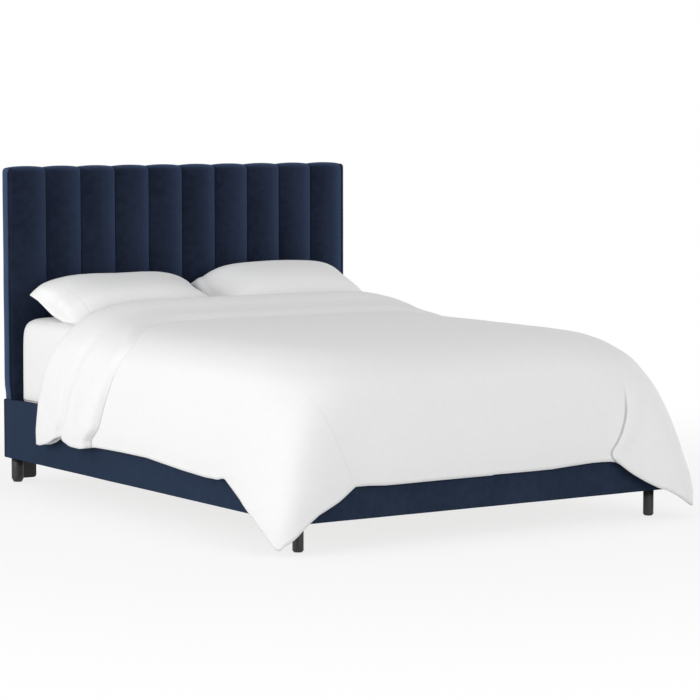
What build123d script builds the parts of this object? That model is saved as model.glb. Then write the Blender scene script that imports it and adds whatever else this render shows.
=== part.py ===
from build123d import *
import os

os.makedirs("parts", exist_ok=True)

# An upholstered queen bed: a headboard of upright channels, a low velvet box frame on round legs,
# a slatted deck and a made-up mattress with two pillows and a duvet.
# Millimetres. +Z is up, +Y is towards the head, the origin is on the floor under the middle of the bed.

# Mattress and its sheet
mattress_width = 1514.0
mattress_length = 2022.0
mattress_height = 350.0
mattress_corner = 50.0
mattress_quilt = 18.0
sheet_thickness = 1.7
sheet_gap = 0.3
seat_gap = 0.4

# Box frame
leg_height = 98.0
rail_height = 232.0
rail_board = 18.0
rail_pad = 5.0
rail_edge = 3.0
rail_lap = 2.0
rail_lap_depth = 25.0
rail_round = 5.0
foot_corner_round = 14.0
mattress_side_gap = 3.5
mattress_foot_gap = 30.0
mattress_head_gap = 22.0
head_gap = 2.0
head_rail_thickness = 20.0
head_rail_height = 150.0
corner_block = 64.0
corner_block_gap = 8.0

# Deck
slat_count = 13
slat_width = 68.0
slat_thickness = 19.0
slat_end_gap = 5.0
slat_round = 3.0
first_slat = 110.0
last_slat_from_foot = 100.0
cleat_size = 25.0
cleat_end_gap = 70.0
strap_width = 25.0
strap_thickness = 1.0
strap_offset = 360.0
centre_rail_width = 38.0
centre_rail_height = 90.0
hanger_sheet = 3.0
hanger_reach = 45.0
hanger_plate_width = 110.0
hanger_clearance = 0.3
centre_leg_count = 2
centre_leg_diameter = 32.0
centre_plate_length = 90.0
centre_plate_thickness = 3.0

# Levelling feet of the centre legs
foot_disc_diameter = 40.0
foot_disc_height = 8.0
foot_stem_diameter = 10.0
foot_stem_length = 42.0
foot_clearance = 0.3

# Legs
front_leg_diameter = 38.0
front_leg_from_side = 34.0
front_leg_from_foot = 50.5
rear_leg_diameter = 48.0
rear_leg_from_side = 40.0
rear_leg_behind_seams = 30.0
rear_leg_chamfer = 5.5
rear_leg_chamfer_height = 11.0
glide_height = 3.0
glide_inset = 4.0
stud_diameter = 8.0
stud_length = 40.0
hole_clearance = 0.3

# Headboard
headboard_inset = 7.5
headboard_top = 1243.0
headboard_border = 7.0
border_round = 6.0
headboard_corner = 24.0
channel_count = 10
channel_crown = 14.0
channel_scallop = 4.0
channel_top_round = 30.0
channel_seam = 0.6
seam_pad = 14.0
top_pad = 12.0
panel_thickness = 5.0
headboard_board = 29.0
post_width = 110.0
headboard_rail_height = 90.0
stile_width = 90.0
dust_cover_thickness = 1.0
dust_cover_inset = 10.0

# Headboard legs: flat boards on the back
leg_board_width = 64.0
leg_board_from_side = 68.0
leg_board_thickness = 19.0
leg_board_top = 700.0
leg_board_lift = 9.0
leg_board_round = 12.0
slot_length = 44.0
bolt_diameter = 8.0
bolt_head_diameter = 18.0
bolt_head_height = 5.0
bolt_recess = 6.0
bolt_recess_gap = 1.5
lower_bolt_from_top = 26.0
lower_bolt_from_bottom = 44.0
upper_bolt_from_top = 40.0
upper_bolt_spacing = 100.0
nut_height = 7.0
nut_width = 15.0

# Pillows
pillow_length = 744.0
pillow_depth = 444.0
pillow_gap = 8.0
pillow_rise = 88.0
pillow_sink = 46.0
pillow_tilt = 10.0
pillow_shell = 8.0
pillow_draw_long = 14.0
pillow_draw_short = 9.0
pillow_bulge_long = 8.0
pillow_bulge_short = 6.0
pillow_tip = 20.0
pillow_from_seams = 22.0

# Duvet
duvet_wall = 15.0
duvet_side_gap = 12.5
duvet_foot_gap = 11.0
duvet_tip_side = 42.0
duvet_tip_foot = 36.0
duvet_tip_height = 14.0
duvet_hem = 210.0
duvet_drop_above_rail = 15.0
duvet_from_pillows = 8.0
duvet_fold_puff = 40.0
duvet_band_puff = 20.0

# Levels that follow from those sizes
rail_bottom = leg_height
rail_top = rail_bottom + rail_height
deck_top = rail_top - rail_lap_depth
slat_bottom = deck_top - slat_thickness
mattress_bottom = deck_top
mattress_top = mattress_bottom + mattress_height
sheet_out = sheet_gap + sheet_thickness
sheet_top = mattress_top + sheet_out

# Half widths from the middle of the bed
mattress_half = mattress_width / 2
rail_inner = mattress_half + sheet_out + mattress_side_gap
board_inner = rail_inner + rail_lap
board_outer = board_inner + rail_board
rail_outer = board_outer + rail_pad
headboard_half = rail_outer - headboard_inset
leg_board_outer = headboard_half - leg_board_from_side
leg_board_inner = leg_board_outer - leg_board_width
channels_half = headboard_half - headboard_border
channel_pitch = 2 * channels_half / channel_count
lining_half = rail_outer + duvet_side_gap
duvet_half = lining_half + duvet_wall

# Distances from the headboard's seam plane towards the foot
mattress_head = mattress_head_gap
mattress_foot = mattress_head + mattress_length
foot_inner = mattress_foot + sheet_out + mattress_foot_gap
foot_board_inner = foot_inner + rail_lap
foot_board_outer = foot_board_inner + rail_board
foot_outer = foot_board_outer + rail_pad
rail_head = channel_crown + head_gap
lining_foot = foot_outer + duvet_foot_gap
duvet_foot = lining_foot + duvet_wall
duvet_tip = duvet_foot + duvet_tip_foot
pillow_front = pillow_from_seams + pillow_depth
duvet_head = pillow_front + duvet_from_pillows

# Distances behind the seam plane
panel_front = seam_pad
frame_front = panel_front + panel_thickness
frame_back = frame_front + headboard_board
cover_back = frame_back + dust_cover_thickness
leg_board_back = cover_back + leg_board_thickness
bolt_seat = leg_board_back - bolt_recess
bed_back = leg_board_back

# The seam plane stands so that the whole bed is centred on the origin
seam_y = (duvet_tip + bed_back) / 2 - bed_back
frame_top = headboard_top - channel_scallop - top_pad


def at(distance):
    """Y of a point that lies this far in front of the headboard's seam plane."""
    return seam_y - distance


def keep(piece, node):
    """Label a finished piece and write it under its node's name."""
    piece.part.label = node
    export_step(piece.part, f"parts/{node}.step")


def block(x_span, y_span, z_span, mode=Mode.ADD):
    """Add or cut a block between three pairs of limits in the part that is being built."""
    spans = (x_span, y_span, z_span)
    with Locations(tuple(sum(span) / 2 for span in spans)):
        Box(*(abs(span[1] - span[0]) for span in spans), mode=mode)


def board(x_span, y_span, z_span):
    """A sawn board between three pairs of limits."""
    with BuildPart() as piece:
        block(x_span, y_span, z_span)
    return piece


def bore_along_y(points, y_start, length, diameter):
    """Cut round holes along Y through the part that is being built."""
    for x, z in points:
        with Locations(Location((x, y_start + length / 2, z), (90, 0, 0))):
            Cylinder(diameter / 2, length, mode=Mode.SUBTRACT)


def mirrored(piece):
    """The same piece for the other side of the bed."""
    with BuildPart() as other:
        mirror(piece.part, about=Plane.YZ)
    return other


# HEADBOARD FRAME
post_x = (channels_half - post_width, channels_half)
head_rail_z = (slat_bottom - head_rail_height, slat_bottom)
bolt_x = (post_x[0] + leg_board_outer) / 2
hole_diameter = bolt_diameter + 2 * hole_clearance
lower_bolts = [
    (bolt_x, head_rail_z[0] + lower_bolt_from_bottom),
    (bolt_x, head_rail_z[1] - lower_bolt_from_top),
]
upper_bolts = [
    (bolt_x, leg_board_top - upper_bolt_from_top - upper_bolt_spacing),
    (bolt_x, leg_board_top - upper_bolt_from_top),
]
frame_y = (at(-frame_back), at(-frame_front))

with BuildPart() as post_right:
    block(post_x, frame_y, (rail_bottom, frame_top))
    bore_along_y(lower_bolts + upper_bolts, at(-frame_front) - 1, headboard_board + 2, hole_diameter)
    with Locations((headboard_half - rear_leg_from_side, at(-rear_leg_behind_seams), rail_bottom)):
        Cylinder(
            stud_diameter / 2 + hole_clearance,
            stud_length + 5,
            align=(Align.CENTER, Align.CENTER, Align.MIN),
            mode=Mode.SUBTRACT,
        )
    upright_edges = post_right.edges().filter_by(Axis.Z).group_by(Axis.Y)[-1]
    chamfer(upright_edges.filter_by(lambda e: e.length > post_width), 2)
keep(post_right, "headboard_post_right")
keep(mirrored(post_right), "headboard_post_left")

rail_x = (-post_x[0], post_x[0])
keep(board(rail_x, frame_y, (frame_top - headboard_rail_height, frame_top)), "headboard_top_rail")
keep(
    board(rail_x, frame_y, (rail_bottom, rail_bottom + headboard_rail_height)),
    "headboard_bottom_rail",
)
stile_z = (rail_bottom + headboard_rail_height, frame_top - headboard_rail_height)
keep(board((-stile_width / 2, stile_width / 2), frame_y, stile_z), "headboard_centre_stile")

with BuildPart() as panel:
    panel_y = (at(-frame_front), at(-panel_front))
    block((-channels_half, channels_half), panel_y, (rail_bottom, frame_top))
    both_sides = lower_bolts + [(-x, z) for x, z in lower_bolts]
    bore_along_y(both_sides, at(-panel_front) - 1, panel_thickness + 2, hole_diameter)
keep(panel, "headboard_panel")

with BuildPart() as dust_cover:
    cloth_half = channels_half - dust_cover_inset
    cloth_z = (rail_bottom + dust_cover_inset, frame_top - dust_cover_inset)
    block((-cloth_half, cloth_half), (at(-cover_back), at(-frame_back)), cloth_z)
    every_bolt = lower_bolts + upper_bolts
    both_sides = every_bolt + [(-x, z) for x, z in every_bolt]
    bore_along_y(both_sides, at(-frame_back) - 1, dust_cover_thickness + 2, hole_diameter)
keep(dust_cover, "headboard_dust_cover")


# HEADBOARD UPHOLSTERY
def channel(place):
    """One upright padded channel that rolls over the top of the headboard."""
    middle = (place - (channel_count - 1) / 2) * channel_pitch
    left = middle - (channel_pitch - channel_seam) / 2
    right = middle + (channel_pitch - channel_seam) / 2
    crest = at(channel_crown)
    back = at(-frame_back)
    with BuildPart() as piece:
        # The side view is a pad in front of the panel with a roll and a flap over the frame's top
        with BuildSketch(Plane.YZ.offset(left)):
            with BuildLine():
                Line((at(-panel_front), rail_bottom), (at(-panel_front), frame_top))
                Line((at(-panel_front), frame_top), (back, frame_top))
                Line((back, frame_top), (back, headboard_top))
                Line((back, headboard_top), (crest + channel_top_round, headboard_top))
                RadiusArc(
                    (crest + channel_top_round, headboard_top),
                    (crest, headboard_top - channel_top_round),
                    -channel_top_round,
                )
                Line((crest, headboard_top - channel_top_round), (crest, rail_bottom))
                Line((crest, rail_bottom), (at(-panel_front), rail_bottom))
            make_face()
        extrude(amount=right - left)
        # The plan view has the crown between two sewn seams
        with BuildSketch(Plane.XY.offset(rail_bottom)):
            with BuildLine():
                Polyline((left, seam_y), (left, back), (right, back), (right, seam_y))
                ThreePointArc((right, seam_y), (middle, crest), (left, seam_y))
            make_face()
        extrude(amount=headboard_top - rail_bottom, mode=Mode.INTERSECT)
        # The front view is scalloped along the top, lowest at the seams
        seam_top = headboard_top - channel_scallop
        with BuildSketch(Plane.XZ.offset(-back)):
            with BuildLine():
                Polyline((left, seam_top), (left, rail_bottom), (right, rail_bottom), (right, seam_top))
                ThreePointArc((right, seam_top), (middle, headboard_top), (left, seam_top))
            make_face()
        extrude(amount=back - crest, mode=Mode.INTERSECT)
        if left < bolt_x < right:
            bore_along_y(lower_bolts, crest - 1, back - crest, hole_diameter)
        if left < -bolt_x < right:
            bore_along_y([(-x, z) for x, z in lower_bolts], crest - 1, back - crest, hole_diameter)
    return piece


border_top = headboard_top - channel_scallop


def top_corner(side):
    """What is cut away to round one top corner of the headboard."""
    with BuildPart() as waste:
        with BuildSketch(Plane.XZ.offset(-at(-cover_back - 1))):
            middle = (side * (headboard_half - headboard_corner), border_top + 1 - headboard_corner)
            past = headboard_corner + 2 * channel_scallop
            with Locations((middle[0] + side * past / 2, middle[1] + past / 2)):
                Rectangle(past, past)
            with Locations(middle):
                Circle(headboard_corner, mode=Mode.SUBTRACT)
        extrude(amount=cover_back + channel_crown + 2)
    return waste.part


outer_channels = {0: -1, channel_count - 1: 1}
for place in range(channel_count):
    with BuildPart() as padded:
        add(channel(place).part)
        if place in outer_channels:
            add(top_corner(outer_channels[place]), mode=Mode.SUBTRACT)
    keep(padded, f"headboard_channel_{place + 1:02d}")

with BuildPart() as border_right:
    border_x = (channels_half, headboard_half)
    block(border_x, (at(-cover_back), seam_y), (rail_bottom, border_top))
    outer_edges = border_right.faces().sort_by(Axis.X)[-1].edges()
    fillet(outer_edges, border_round)
    add(top_corner(1), mode=Mode.SUBTRACT)
keep(border_right, "headboard_border_right")
keep(mirrored(border_right), "headboard_border_left")

# HEADBOARD LEGS
with BuildPart() as leg_board_right:
    with BuildSketch(Plane.XZ.offset(-at(-cover_back))) as outline:
        with Locations((leg_board_inner + leg_board_width / 2, (leg_board_lift + leg_board_top) / 2)):
            Rectangle(leg_board_width, leg_board_top - leg_board_lift)
        fillet(outline.vertices(), leg_board_round)
        for x, z in lower_bolts:
            with Locations((x, z)):
                SlotOverall(slot_length, hole_diameter, rotation=90, mode=Mode.SUBTRACT)
        for x, z in upper_bolts:
            with Locations((x, z)):
                Circle(hole_diameter / 2, mode=Mode.SUBTRACT)
    extrude(amount=-leg_board_thickness)
    # Recesses keep the bolt heads below the face that stands against the wall
    recess_width = bolt_head_diameter + 2 * bolt_recess_gap
    with BuildSketch(Plane.XZ.offset(-at(-leg_board_back))):
        for x, z in lower_bolts:
            with Locations((x, z)):
                SlotOverall(slot_length + recess_width - hole_diameter, recess_width, rotation=90)
        for x, z in upper_bolts:
            with Locations((x, z)):
                Circle(recess_width / 2)
    extrude(amount=bolt_recess, mode=Mode.SUBTRACT)
keep(leg_board_right, "headboard_leg_right")
keep(mirrored(leg_board_right), "headboard_leg_left")


def bolts(points, tip):
    """Bolts with their heads sunk in the leg boards, ending this far behind the seam plane."""
    seat = at(-bolt_seat)
    with BuildPart() as piece:
        for x, z in points:
            back_plane = Plane(origin=(x, seat, z), x_dir=(1, 0, 0), z_dir=(0, 1, 0))
            with BuildSketch(back_plane):
                Circle(bolt_head_diameter / 2)
            extrude(amount=bolt_head_height, taper=20)
            with BuildSketch(back_plane):
                Circle(bolt_diameter / 2)
            extrude(amount=-(seat - at(-tip)))
    return piece


rail_bolt_tip = -(rail_head + head_rail_thickness + nut_height)
mirrored_upper = [(-x, z) for x, z in upper_bolts]
mirrored_lower = [(-x, z) for x, z in lower_bolts]
keep(bolts(upper_bolts + mirrored_upper, frame_front + 6), "headboard_leg_bolts")
keep(bolts(lower_bolts + mirrored_lower, rail_bolt_tip), "headboard_rail_bolts")

with BuildPart() as nuts:
    for x, z in lower_bolts + mirrored_lower:
        nut_face = at(rail_head + head_rail_thickness)
        with BuildSketch(Plane(origin=(x, nut_face, z), x_dir=(1, 0, 0), z_dir=(0, -1, 0))):
            RegularPolygon(nut_width / 2, 6, major_radius=False)
            Circle(bolt_diameter / 2 + hole_clearance, mode=Mode.SUBTRACT)
        extrude(amount=nut_height)
keep(nuts, "headboard_rail_nuts")

# BOX FRAME
board_bottom = rail_bottom + rail_edge
board_top = rail_top - rail_edge
side_y = (at(foot_inner), at(rail_head))
side_rail_right = board((board_inner, board_outer), side_y, (board_bottom, board_top))
keep(side_rail_right, "side_rail_right")
keep(mirrored(side_rail_right), "side_rail_left")

foot_y = (at(foot_board_outer), at(foot_board_inner))
keep(board((-board_outer, board_outer), foot_y, (board_bottom, board_top)), "foot_rail")

with BuildPart() as head_rail:
    head_rail_y = (at(rail_head + head_rail_thickness), at(rail_head))
    block((-board_inner, board_inner), head_rail_y, head_rail_z)
    both_sides = lower_bolts + mirrored_lower
    bore_along_y(both_sides, head_rail_y[0] - 1, head_rail_thickness + 2, hole_diameter)
keep(head_rail, "head_rail")

# The velvet wraps the outside, the top and the bottom of each board and laps inside at the top
with BuildPart() as cover_right:
    with BuildSketch(Plane.XZ.offset(-at(rail_head))) as wrap:
        rail_middle = (rail_bottom + rail_top) / 2
        with Locations(((rail_inner + rail_outer) / 2, rail_middle)):
            Rectangle(rail_outer - rail_inner, rail_height)
        fillet(wrap.vertices().group_by(Axis.X)[-1], rail_round)
        with Locations(((board_inner + board_outer) / 2, rail_middle)):
            Rectangle(rail_board, board_top - board_bottom, mode=Mode.SUBTRACT)
        with Locations(((rail_inner + board_inner) / 2, (rail_bottom + deck_top) / 2)):
            Rectangle(rail_lap, deck_top - rail_bottom, mode=Mode.SUBTRACT)
    extrude(amount=foot_inner - rail_head)
    # At the head it runs on along the headboard's side to its back
    with BuildSketch(Plane.XZ.offset(-at(-cover_back))) as tongue:
        tongue_inner = headboard_half + seat_gap
        with Locations(((tongue_inner + rail_outer) / 2, rail_middle)):
            Rectangle(rail_outer - tongue_inner, rail_height)
        fillet(tongue.vertices().group_by(Axis.X)[-1], rail_round)
    extrude(amount=cover_back + rail_head)
keep(cover_right, "side_rail_cover_right")
keep(mirrored(cover_right), "side_rail_cover_left")

with BuildPart() as foot_cover:
    outside_y = (at(foot_outer), at(foot_inner))
    block((-rail_outer, rail_outer), outside_y, (rail_bottom, rail_top))
    corner_edges = foot_cover.edges().filter_by(Axis.Z).group_by(Axis.Y)[0]
    fillet(corner_edges, foot_corner_round)
    front_rims = foot_cover.edges().filter_by(Axis.X).group_by(Axis.Y)[0]
    fillet(front_rims, rail_round)
    block((-board_outer, board_outer), foot_y, (board_bottom, board_top), Mode.SUBTRACT)
    lap_y = (at(foot_board_inner), at(foot_inner))
    block((-board_outer, board_outer), lap_y, (rail_bottom, deck_top), Mode.SUBTRACT)
keep(foot_cover, "foot_rail_cover")

leg_x = rail_outer - front_leg_from_side
leg_y = at(foot_outer - front_leg_from_foot)
block_cut = corner_block / 3
with BuildPart() as corner_blocks:
    block_z = rail_bottom
    for side in (1, -1):
        # Foot corners, bored for the studs of the front legs
        with BuildSketch(Plane.XY.offset(block_z)):
            near_x = side * board_inner
            far_x = side * (board_inner - corner_block)
            near_y = at(foot_board_inner)
            far_y = at(foot_board_inner - corner_block)
            with BuildLine():
                Polyline(
                    (near_x, near_y),
                    (near_x, far_y),
                    (far_x + side * block_cut, far_y),
                    (far_x, far_y - block_cut),
                    (far_x, near_y),
                    close=True,
                )
            make_face()
            with Locations((side * leg_x, leg_y)):
                Circle(stud_diameter / 2 + hole_clearance, mode=Mode.SUBTRACT)
        extrude(amount=slat_bottom - corner_block_gap - block_z)
        # Head corners, between the side rails and the head rail
        with BuildSketch(Plane.XY.offset(head_rail_z[0])):
            near_y = at(rail_head + head_rail_thickness)
            far_y = at(rail_head + head_rail_thickness + corner_block)
            with BuildLine():
                Polyline(
                    (near_x, near_y),
                    (near_x, far_y),
                    (near_x - side * block_cut, far_y),
                    (near_x - side * corner_block * 0.6, near_y - block_cut),
                    (near_x - side * corner_block * 0.6, near_y),
                    close=True,
                )
            make_face()
        extrude(amount=head_rail_height - cleat_size)
keep(corner_blocks, "corner_blocks")

# DECK
cleat_y = (at(foot_board_inner - cleat_end_gap), at(rail_head + head_rail_thickness + cleat_end_gap))
cleat_z = (slat_bottom - cleat_size, slat_bottom)
with BuildPart() as cleat_right:
    block((board_inner - cleat_size, board_inner), cleat_y, cleat_z)
    chamfer(cleat_right.edges().filter_by(Axis.Y).sort_by(Axis.X)[0:1], 2)
keep(cleat_right, "slat_cleat_right")
keep(mirrored(cleat_right), "slat_cleat_left")

slat_half = rail_inner - slat_end_gap
last_slat = foot_inner - last_slat_from_foot
slat_step = (last_slat - first_slat) / (slat_count - 1)
slat_places = [first_slat + place * slat_step for place in range(slat_count)]
with BuildPart() as slats:
    for place in slat_places:
        with Locations((0, at(place), slat_bottom + slat_thickness / 2)):
            Box(2 * slat_half, slat_width, slat_thickness)
    fillet(slats.edges().filter_by(Axis.X).group_by(Axis.Z)[-1], slat_round)
keep(slats, "slats")

strap_run = last_slat - first_slat + slat_width
strap_middle = at((first_slat + last_slat) / 2)
with BuildPart() as straps:
    with Locations(
        (-strap_offset, strap_middle, slat_bottom - strap_thickness / 2),
        (strap_offset, strap_middle, slat_bottom - strap_thickness / 2),
    ):
        Box(strap_width, strap_run, strap_thickness)
keep(straps, "slat_straps")

hanger_head = rail_head + head_rail_thickness
centre_half = centre_rail_width / 2
centre_z = (slat_bottom - centre_rail_height, slat_bottom)
centre_y = (at(foot_board_inner - hanger_sheet), at(hanger_head + hanger_sheet))
with BuildPart() as centre_rail:
    block((-centre_half, centre_half), centre_y, centre_z)
    chamfer(centre_rail.edges().filter_by(Axis.Y).group_by(Axis.Z)[0], 2)
keep(centre_rail, "centre_rail")

with BuildPart() as hangers:
    cheek_inner = centre_half + hanger_clearance
    cheek_outer = cheek_inner + hanger_sheet
    stirrup_bottom = centre_z[0] - hanger_sheet
    cheek_top = centre_z[0] + centre_rail_height * 0.7
    for face, inward in ((at(hanger_head), 1), (at(foot_board_inner), -1)):
        wall = Plane(origin=(0, face, 0), x_dir=(1, 0, 0), z_dir=(0, -1, 0))
        with BuildSketch(wall):
            with Locations((0, (stirrup_bottom + cheek_top) / 2)):
                RectangleRounded(hanger_plate_width, cheek_top - stirrup_bottom, 6)
        extrude(amount=inward * hanger_sheet)
        with BuildSketch(wall):
            with BuildLine():
                Polyline(
                    (-cheek_outer, cheek_top),
                    (-cheek_outer, stirrup_bottom),
                    (cheek_outer, stirrup_bottom),
                    (cheek_outer, cheek_top),
                    (cheek_inner, cheek_top),
                    (cheek_inner, centre_z[0]),
                    (-cheek_inner, centre_z[0]),
                    (-cheek_inner, cheek_top),
                    close=True,
                )
            make_face()
        extrude(amount=inward * hanger_reach)
keep(hangers, "centre_rail_hangers")

centre_leg_bottom = foot_disc_height + foot_clearance
for number in range(1, centre_leg_count + 1):
    place = foot_inner * number / (centre_leg_count + 1)
    with BuildPart() as centre_leg:
        with BuildSketch(Plane.XY.offset(centre_z[0] - centre_plate_thickness)) as plate:
            with Locations((0, at(place))):
                RectangleRounded(centre_rail_width + 22, centre_plate_length, 8)
        extrude(amount=centre_plate_thickness)
        with BuildSketch(Plane.XY.offset(centre_leg_bottom)):
            with Locations((0, at(place))):
                Circle(centre_leg_diameter / 2)
        extrude(amount=centre_z[0] - centre_plate_thickness - centre_leg_bottom)
        with Locations((0, at(place), centre_leg_bottom)):
            Cylinder(
                foot_stem_diameter / 2 + foot_clearance,
                foot_stem_length + 4,
                align=(Align.CENTER, Align.CENTER, Align.MIN),
                mode=Mode.SUBTRACT,
            )
    keep(centre_leg, f"centre_leg_{number}")

    with BuildPart() as levelling_foot:
        with BuildSketch(Plane(origin=(0, at(place), 0), x_dir=(1, 0, 0), z_dir=(0, -1, 0))):
            with BuildLine():
                Polyline(
                    (0, 0),
                    (foot_disc_diameter / 2 - 2, 0),
                    (foot_disc_diameter / 2, 2),
                    (foot_disc_diameter / 2, foot_disc_height - 3),
                    (centre_leg_diameter / 2, foot_disc_height),
                    (foot_stem_diameter / 2, foot_disc_height),
                    (foot_stem_diameter / 2, foot_disc_height + foot_stem_length - 1),
                    (foot_stem_diameter / 2 - 1, foot_disc_height + foot_stem_length),
                    (0, foot_disc_height + foot_stem_length),
                    close=True,
                )
            make_face()
        revolve(axis=Axis((0, at(place), 0), (0, 0, 1)))
    keep(levelling_foot, f"levelling_foot_{number}")


# LEGS
def turned_leg(x, y, radius, chamfer_width, chamfer_rise):
    """A round leg with a drawn-in bottom and a stud that goes up into the frame."""
    with BuildPart() as piece:
        with BuildSketch(Plane(origin=(x, y, 0), x_dir=(1, 0, 0), z_dir=(0, -1, 0))):
            with BuildLine():
                Polyline(
                    (0, glide_height),
                    (radius - chamfer_width, glide_height),
                    (radius, glide_height + chamfer_rise),
                    (radius, leg_height),
                    (stud_diameter / 2, leg_height),
                    (stud_diameter / 2, leg_height + stud_length),
                    (0, leg_height + stud_length),
                    close=True,
                )
            make_face()
        revolve(axis=Axis((x, y, 0), (0, 0, 1)))
    return piece


rear_x = headboard_half - rear_leg_from_side
rear_y = at(-rear_leg_behind_seams)
front_radius = front_leg_diameter / 2
rear_radius = rear_leg_diameter / 2
for side_name, side in (("left", -1), ("right", 1)):
    keep(turned_leg(side * leg_x, leg_y, front_radius, 1.5, 1.5), f"front_leg_{side_name}")
    rear_leg = turned_leg(side * rear_x, rear_y, rear_radius, rear_leg_chamfer, rear_leg_chamfer_height)
    keep(rear_leg, f"rear_leg_{side_name}")

with BuildPart() as front_glides:
    with Locations((-leg_x, leg_y, glide_height / 2), (leg_x, leg_y, glide_height / 2)):
        Cylinder(front_radius - glide_inset, glide_height)
keep(front_glides, "front_leg_glides")
with BuildPart() as rear_glides:
    with Locations((-rear_x, rear_y, glide_height / 2), (rear_x, rear_y, glide_height / 2)):
        Cylinder(rear_radius - rear_leg_chamfer - glide_inset / 2, glide_height)
keep(rear_glides, "rear_leg_glides")


# MATTRESS
# Each station is a height below the top or above the bottom, how far the outline is drawn in there and
# how round its foot corners are, which are soft at the top
crown_stations = (
    (0, 330, 150),
    (5, 220, 240),
    (14, 140, 310),
    (28, 90, 340),
    (50, 46, 340),
    (85, 12, 270),
    (150, 0, 100),
)
core_stations = ((0, 250, 150), (50, 46, 300), (150, 0, 90))
base_stations = ((22, 0, 90), (10, 5, 88), (3, 12, 84), (0, 22, 80))


def slab(grow, bottom, crown):
    """A mattress-shaped solid that is this much larger all round, from the given height up."""
    stations = [(mattress_top + grow - drop, inset, corner) for drop, inset, corner in crown]
    if bottom < mattress_bottom + base_stations[0][0]:
        stations += [(bottom + rise, inset, corner) for rise, inset, corner in base_stations]
    else:
        stations += [(bottom, *base_stations[0][1:])]
    with BuildPart() as piece:
        for height, inset, corner in stations:
            with BuildSketch(Plane.XY.offset(height)) as outline:
                with Locations((0, at((mattress_head + mattress_foot) / 2))):
                    Rectangle(mattress_width + 2 * (grow - inset), mattress_length + 2 * (grow - inset))
                foot_corners, head_corners = (outline.vertices().group_by(Axis.Y)[end] for end in (0, -1))
                fillet(foot_corners, corner + grow)
                fillet(head_corners, mattress_corner + grow - inset * 0.1)
        loft(ruled=True)
    return piece


mattress_outside = slab(0, mattress_bottom, crown_stations)
mattress_inside = slab(-mattress_quilt, mattress_bottom + mattress_quilt, core_stations)
with BuildPart() as mattress:
    add(mattress_outside.part)
    add(mattress_inside.part, mode=Mode.SUBTRACT)
keep(mattress, "mattress")

sheet_bottom = mattress_bottom + base_stations[0][0] + 6
sheet_outside = slab(sheet_out, sheet_bottom, crown_stations)
sheet_inside = slab(sheet_gap, sheet_bottom - 1, crown_stations)
with BuildPart() as fitted_sheet:
    add(sheet_outside.part)
    add(sheet_inside.part, mode=Mode.SUBTRACT)
keep(fitted_sheet, "fitted_sheet")


# PILLOWS
# Each station is a height over the seam, as a share of the rise or the sink, and the inset there
pillow_stations = ((-1.0, 118), (-0.62, 66), (-0.24, 26), (0, 0), (0.3, 22), (0.62, 62), (0.86, 108), (1.0, 160))


def pillow_form(middle_x, shrink, stations):
    """A filled pillow, crowned both ways, with drawn-in sides and four tips, leaning back."""
    tilt = Plane(
        origin=(middle_x, at(pillow_from_seams + pillow_depth / 2), sheet_top),
        x_dir=(1, 0, 0),
        z_dir=(0, 0, 1),
    ).rotated((pillow_tilt, 0, 0))
    low_half = pillow_depth / 2 - pillow_stations[0][1] * 0.92 + pillow_bulge_long
    lean = Vector(0, 1, 0).rotate(Axis.X, pillow_tilt).Z
    upright = Vector(0, 0, 1).rotate(Axis.X, pillow_tilt).Z
    lift = seat_gap + pillow_sink * upright + low_half * lean
    with BuildPart() as piece:
        for share, inset in stations:
            height = share * (pillow_rise if share > 0 else pillow_sink)
            height -= shrink * share
            half_l = pillow_length / 2 - inset - shrink
            half_d = pillow_depth / 2 - inset * 0.92 - shrink
            fullness = max(0, 1 - inset / 60)
            tip = min(pillow_tip + inset * 0.3 - shrink * 0.3, half_d * 0.7)
            draw_l = pillow_draw_long * fullness - pillow_bulge_long * (1 - fullness)
            draw_s = pillow_draw_short * fullness - pillow_bulge_short * (1 - fullness)
            cut = tip * 0.2929
            with BuildSketch(tilt.offset(height)):
                with BuildLine():
                    ThreePointArc((-half_l + tip, -half_d), (0, -half_d + draw_l), (half_l - tip, -half_d))
                    ThreePointArc(
                        (half_l - tip, -half_d), (half_l - cut, -half_d + cut), (half_l, -half_d + tip)
                    )
                    ThreePointArc((half_l, -half_d + tip), (half_l - draw_s, 0), (half_l, half_d - tip))
                    ThreePointArc(
                        (half_l, half_d - tip), (half_l - cut, half_d - cut), (half_l - tip, half_d)
                    )
                    ThreePointArc((half_l - tip, half_d), (0, half_d - draw_l), (-half_l + tip, half_d))
                    ThreePointArc(
                        (-half_l + tip, half_d), (-half_l + cut, half_d - cut), (-half_l, half_d - tip)
                    )
                    ThreePointArc((-half_l, half_d - tip), (-half_l + draw_s, 0), (-half_l, -half_d + tip))
                    ThreePointArc(
                        (-half_l, -half_d + tip), (-half_l + cut, -half_d + cut), (-half_l + tip, -half_d)
                    )
                make_face()
        loft(ruled=True)
    return piece, lift


for side_name, side in (("left", -1), ("right", 1)):
    pillow_x = side * (pillow_length + pillow_gap) / 2
    outside, lift = pillow_form(pillow_x, 0, pillow_stations)
    inside, _ = pillow_form(pillow_x, pillow_shell, pillow_stations[::3])
    with BuildPart() as pillow:
        add(outside.part.moved(Location((0, 0, lift))))
        add(inside.part.moved(Location((0, 0, lift))), mode=Mode.SUBTRACT)
    keep(pillow, f"pillow_{side_name}")


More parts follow.
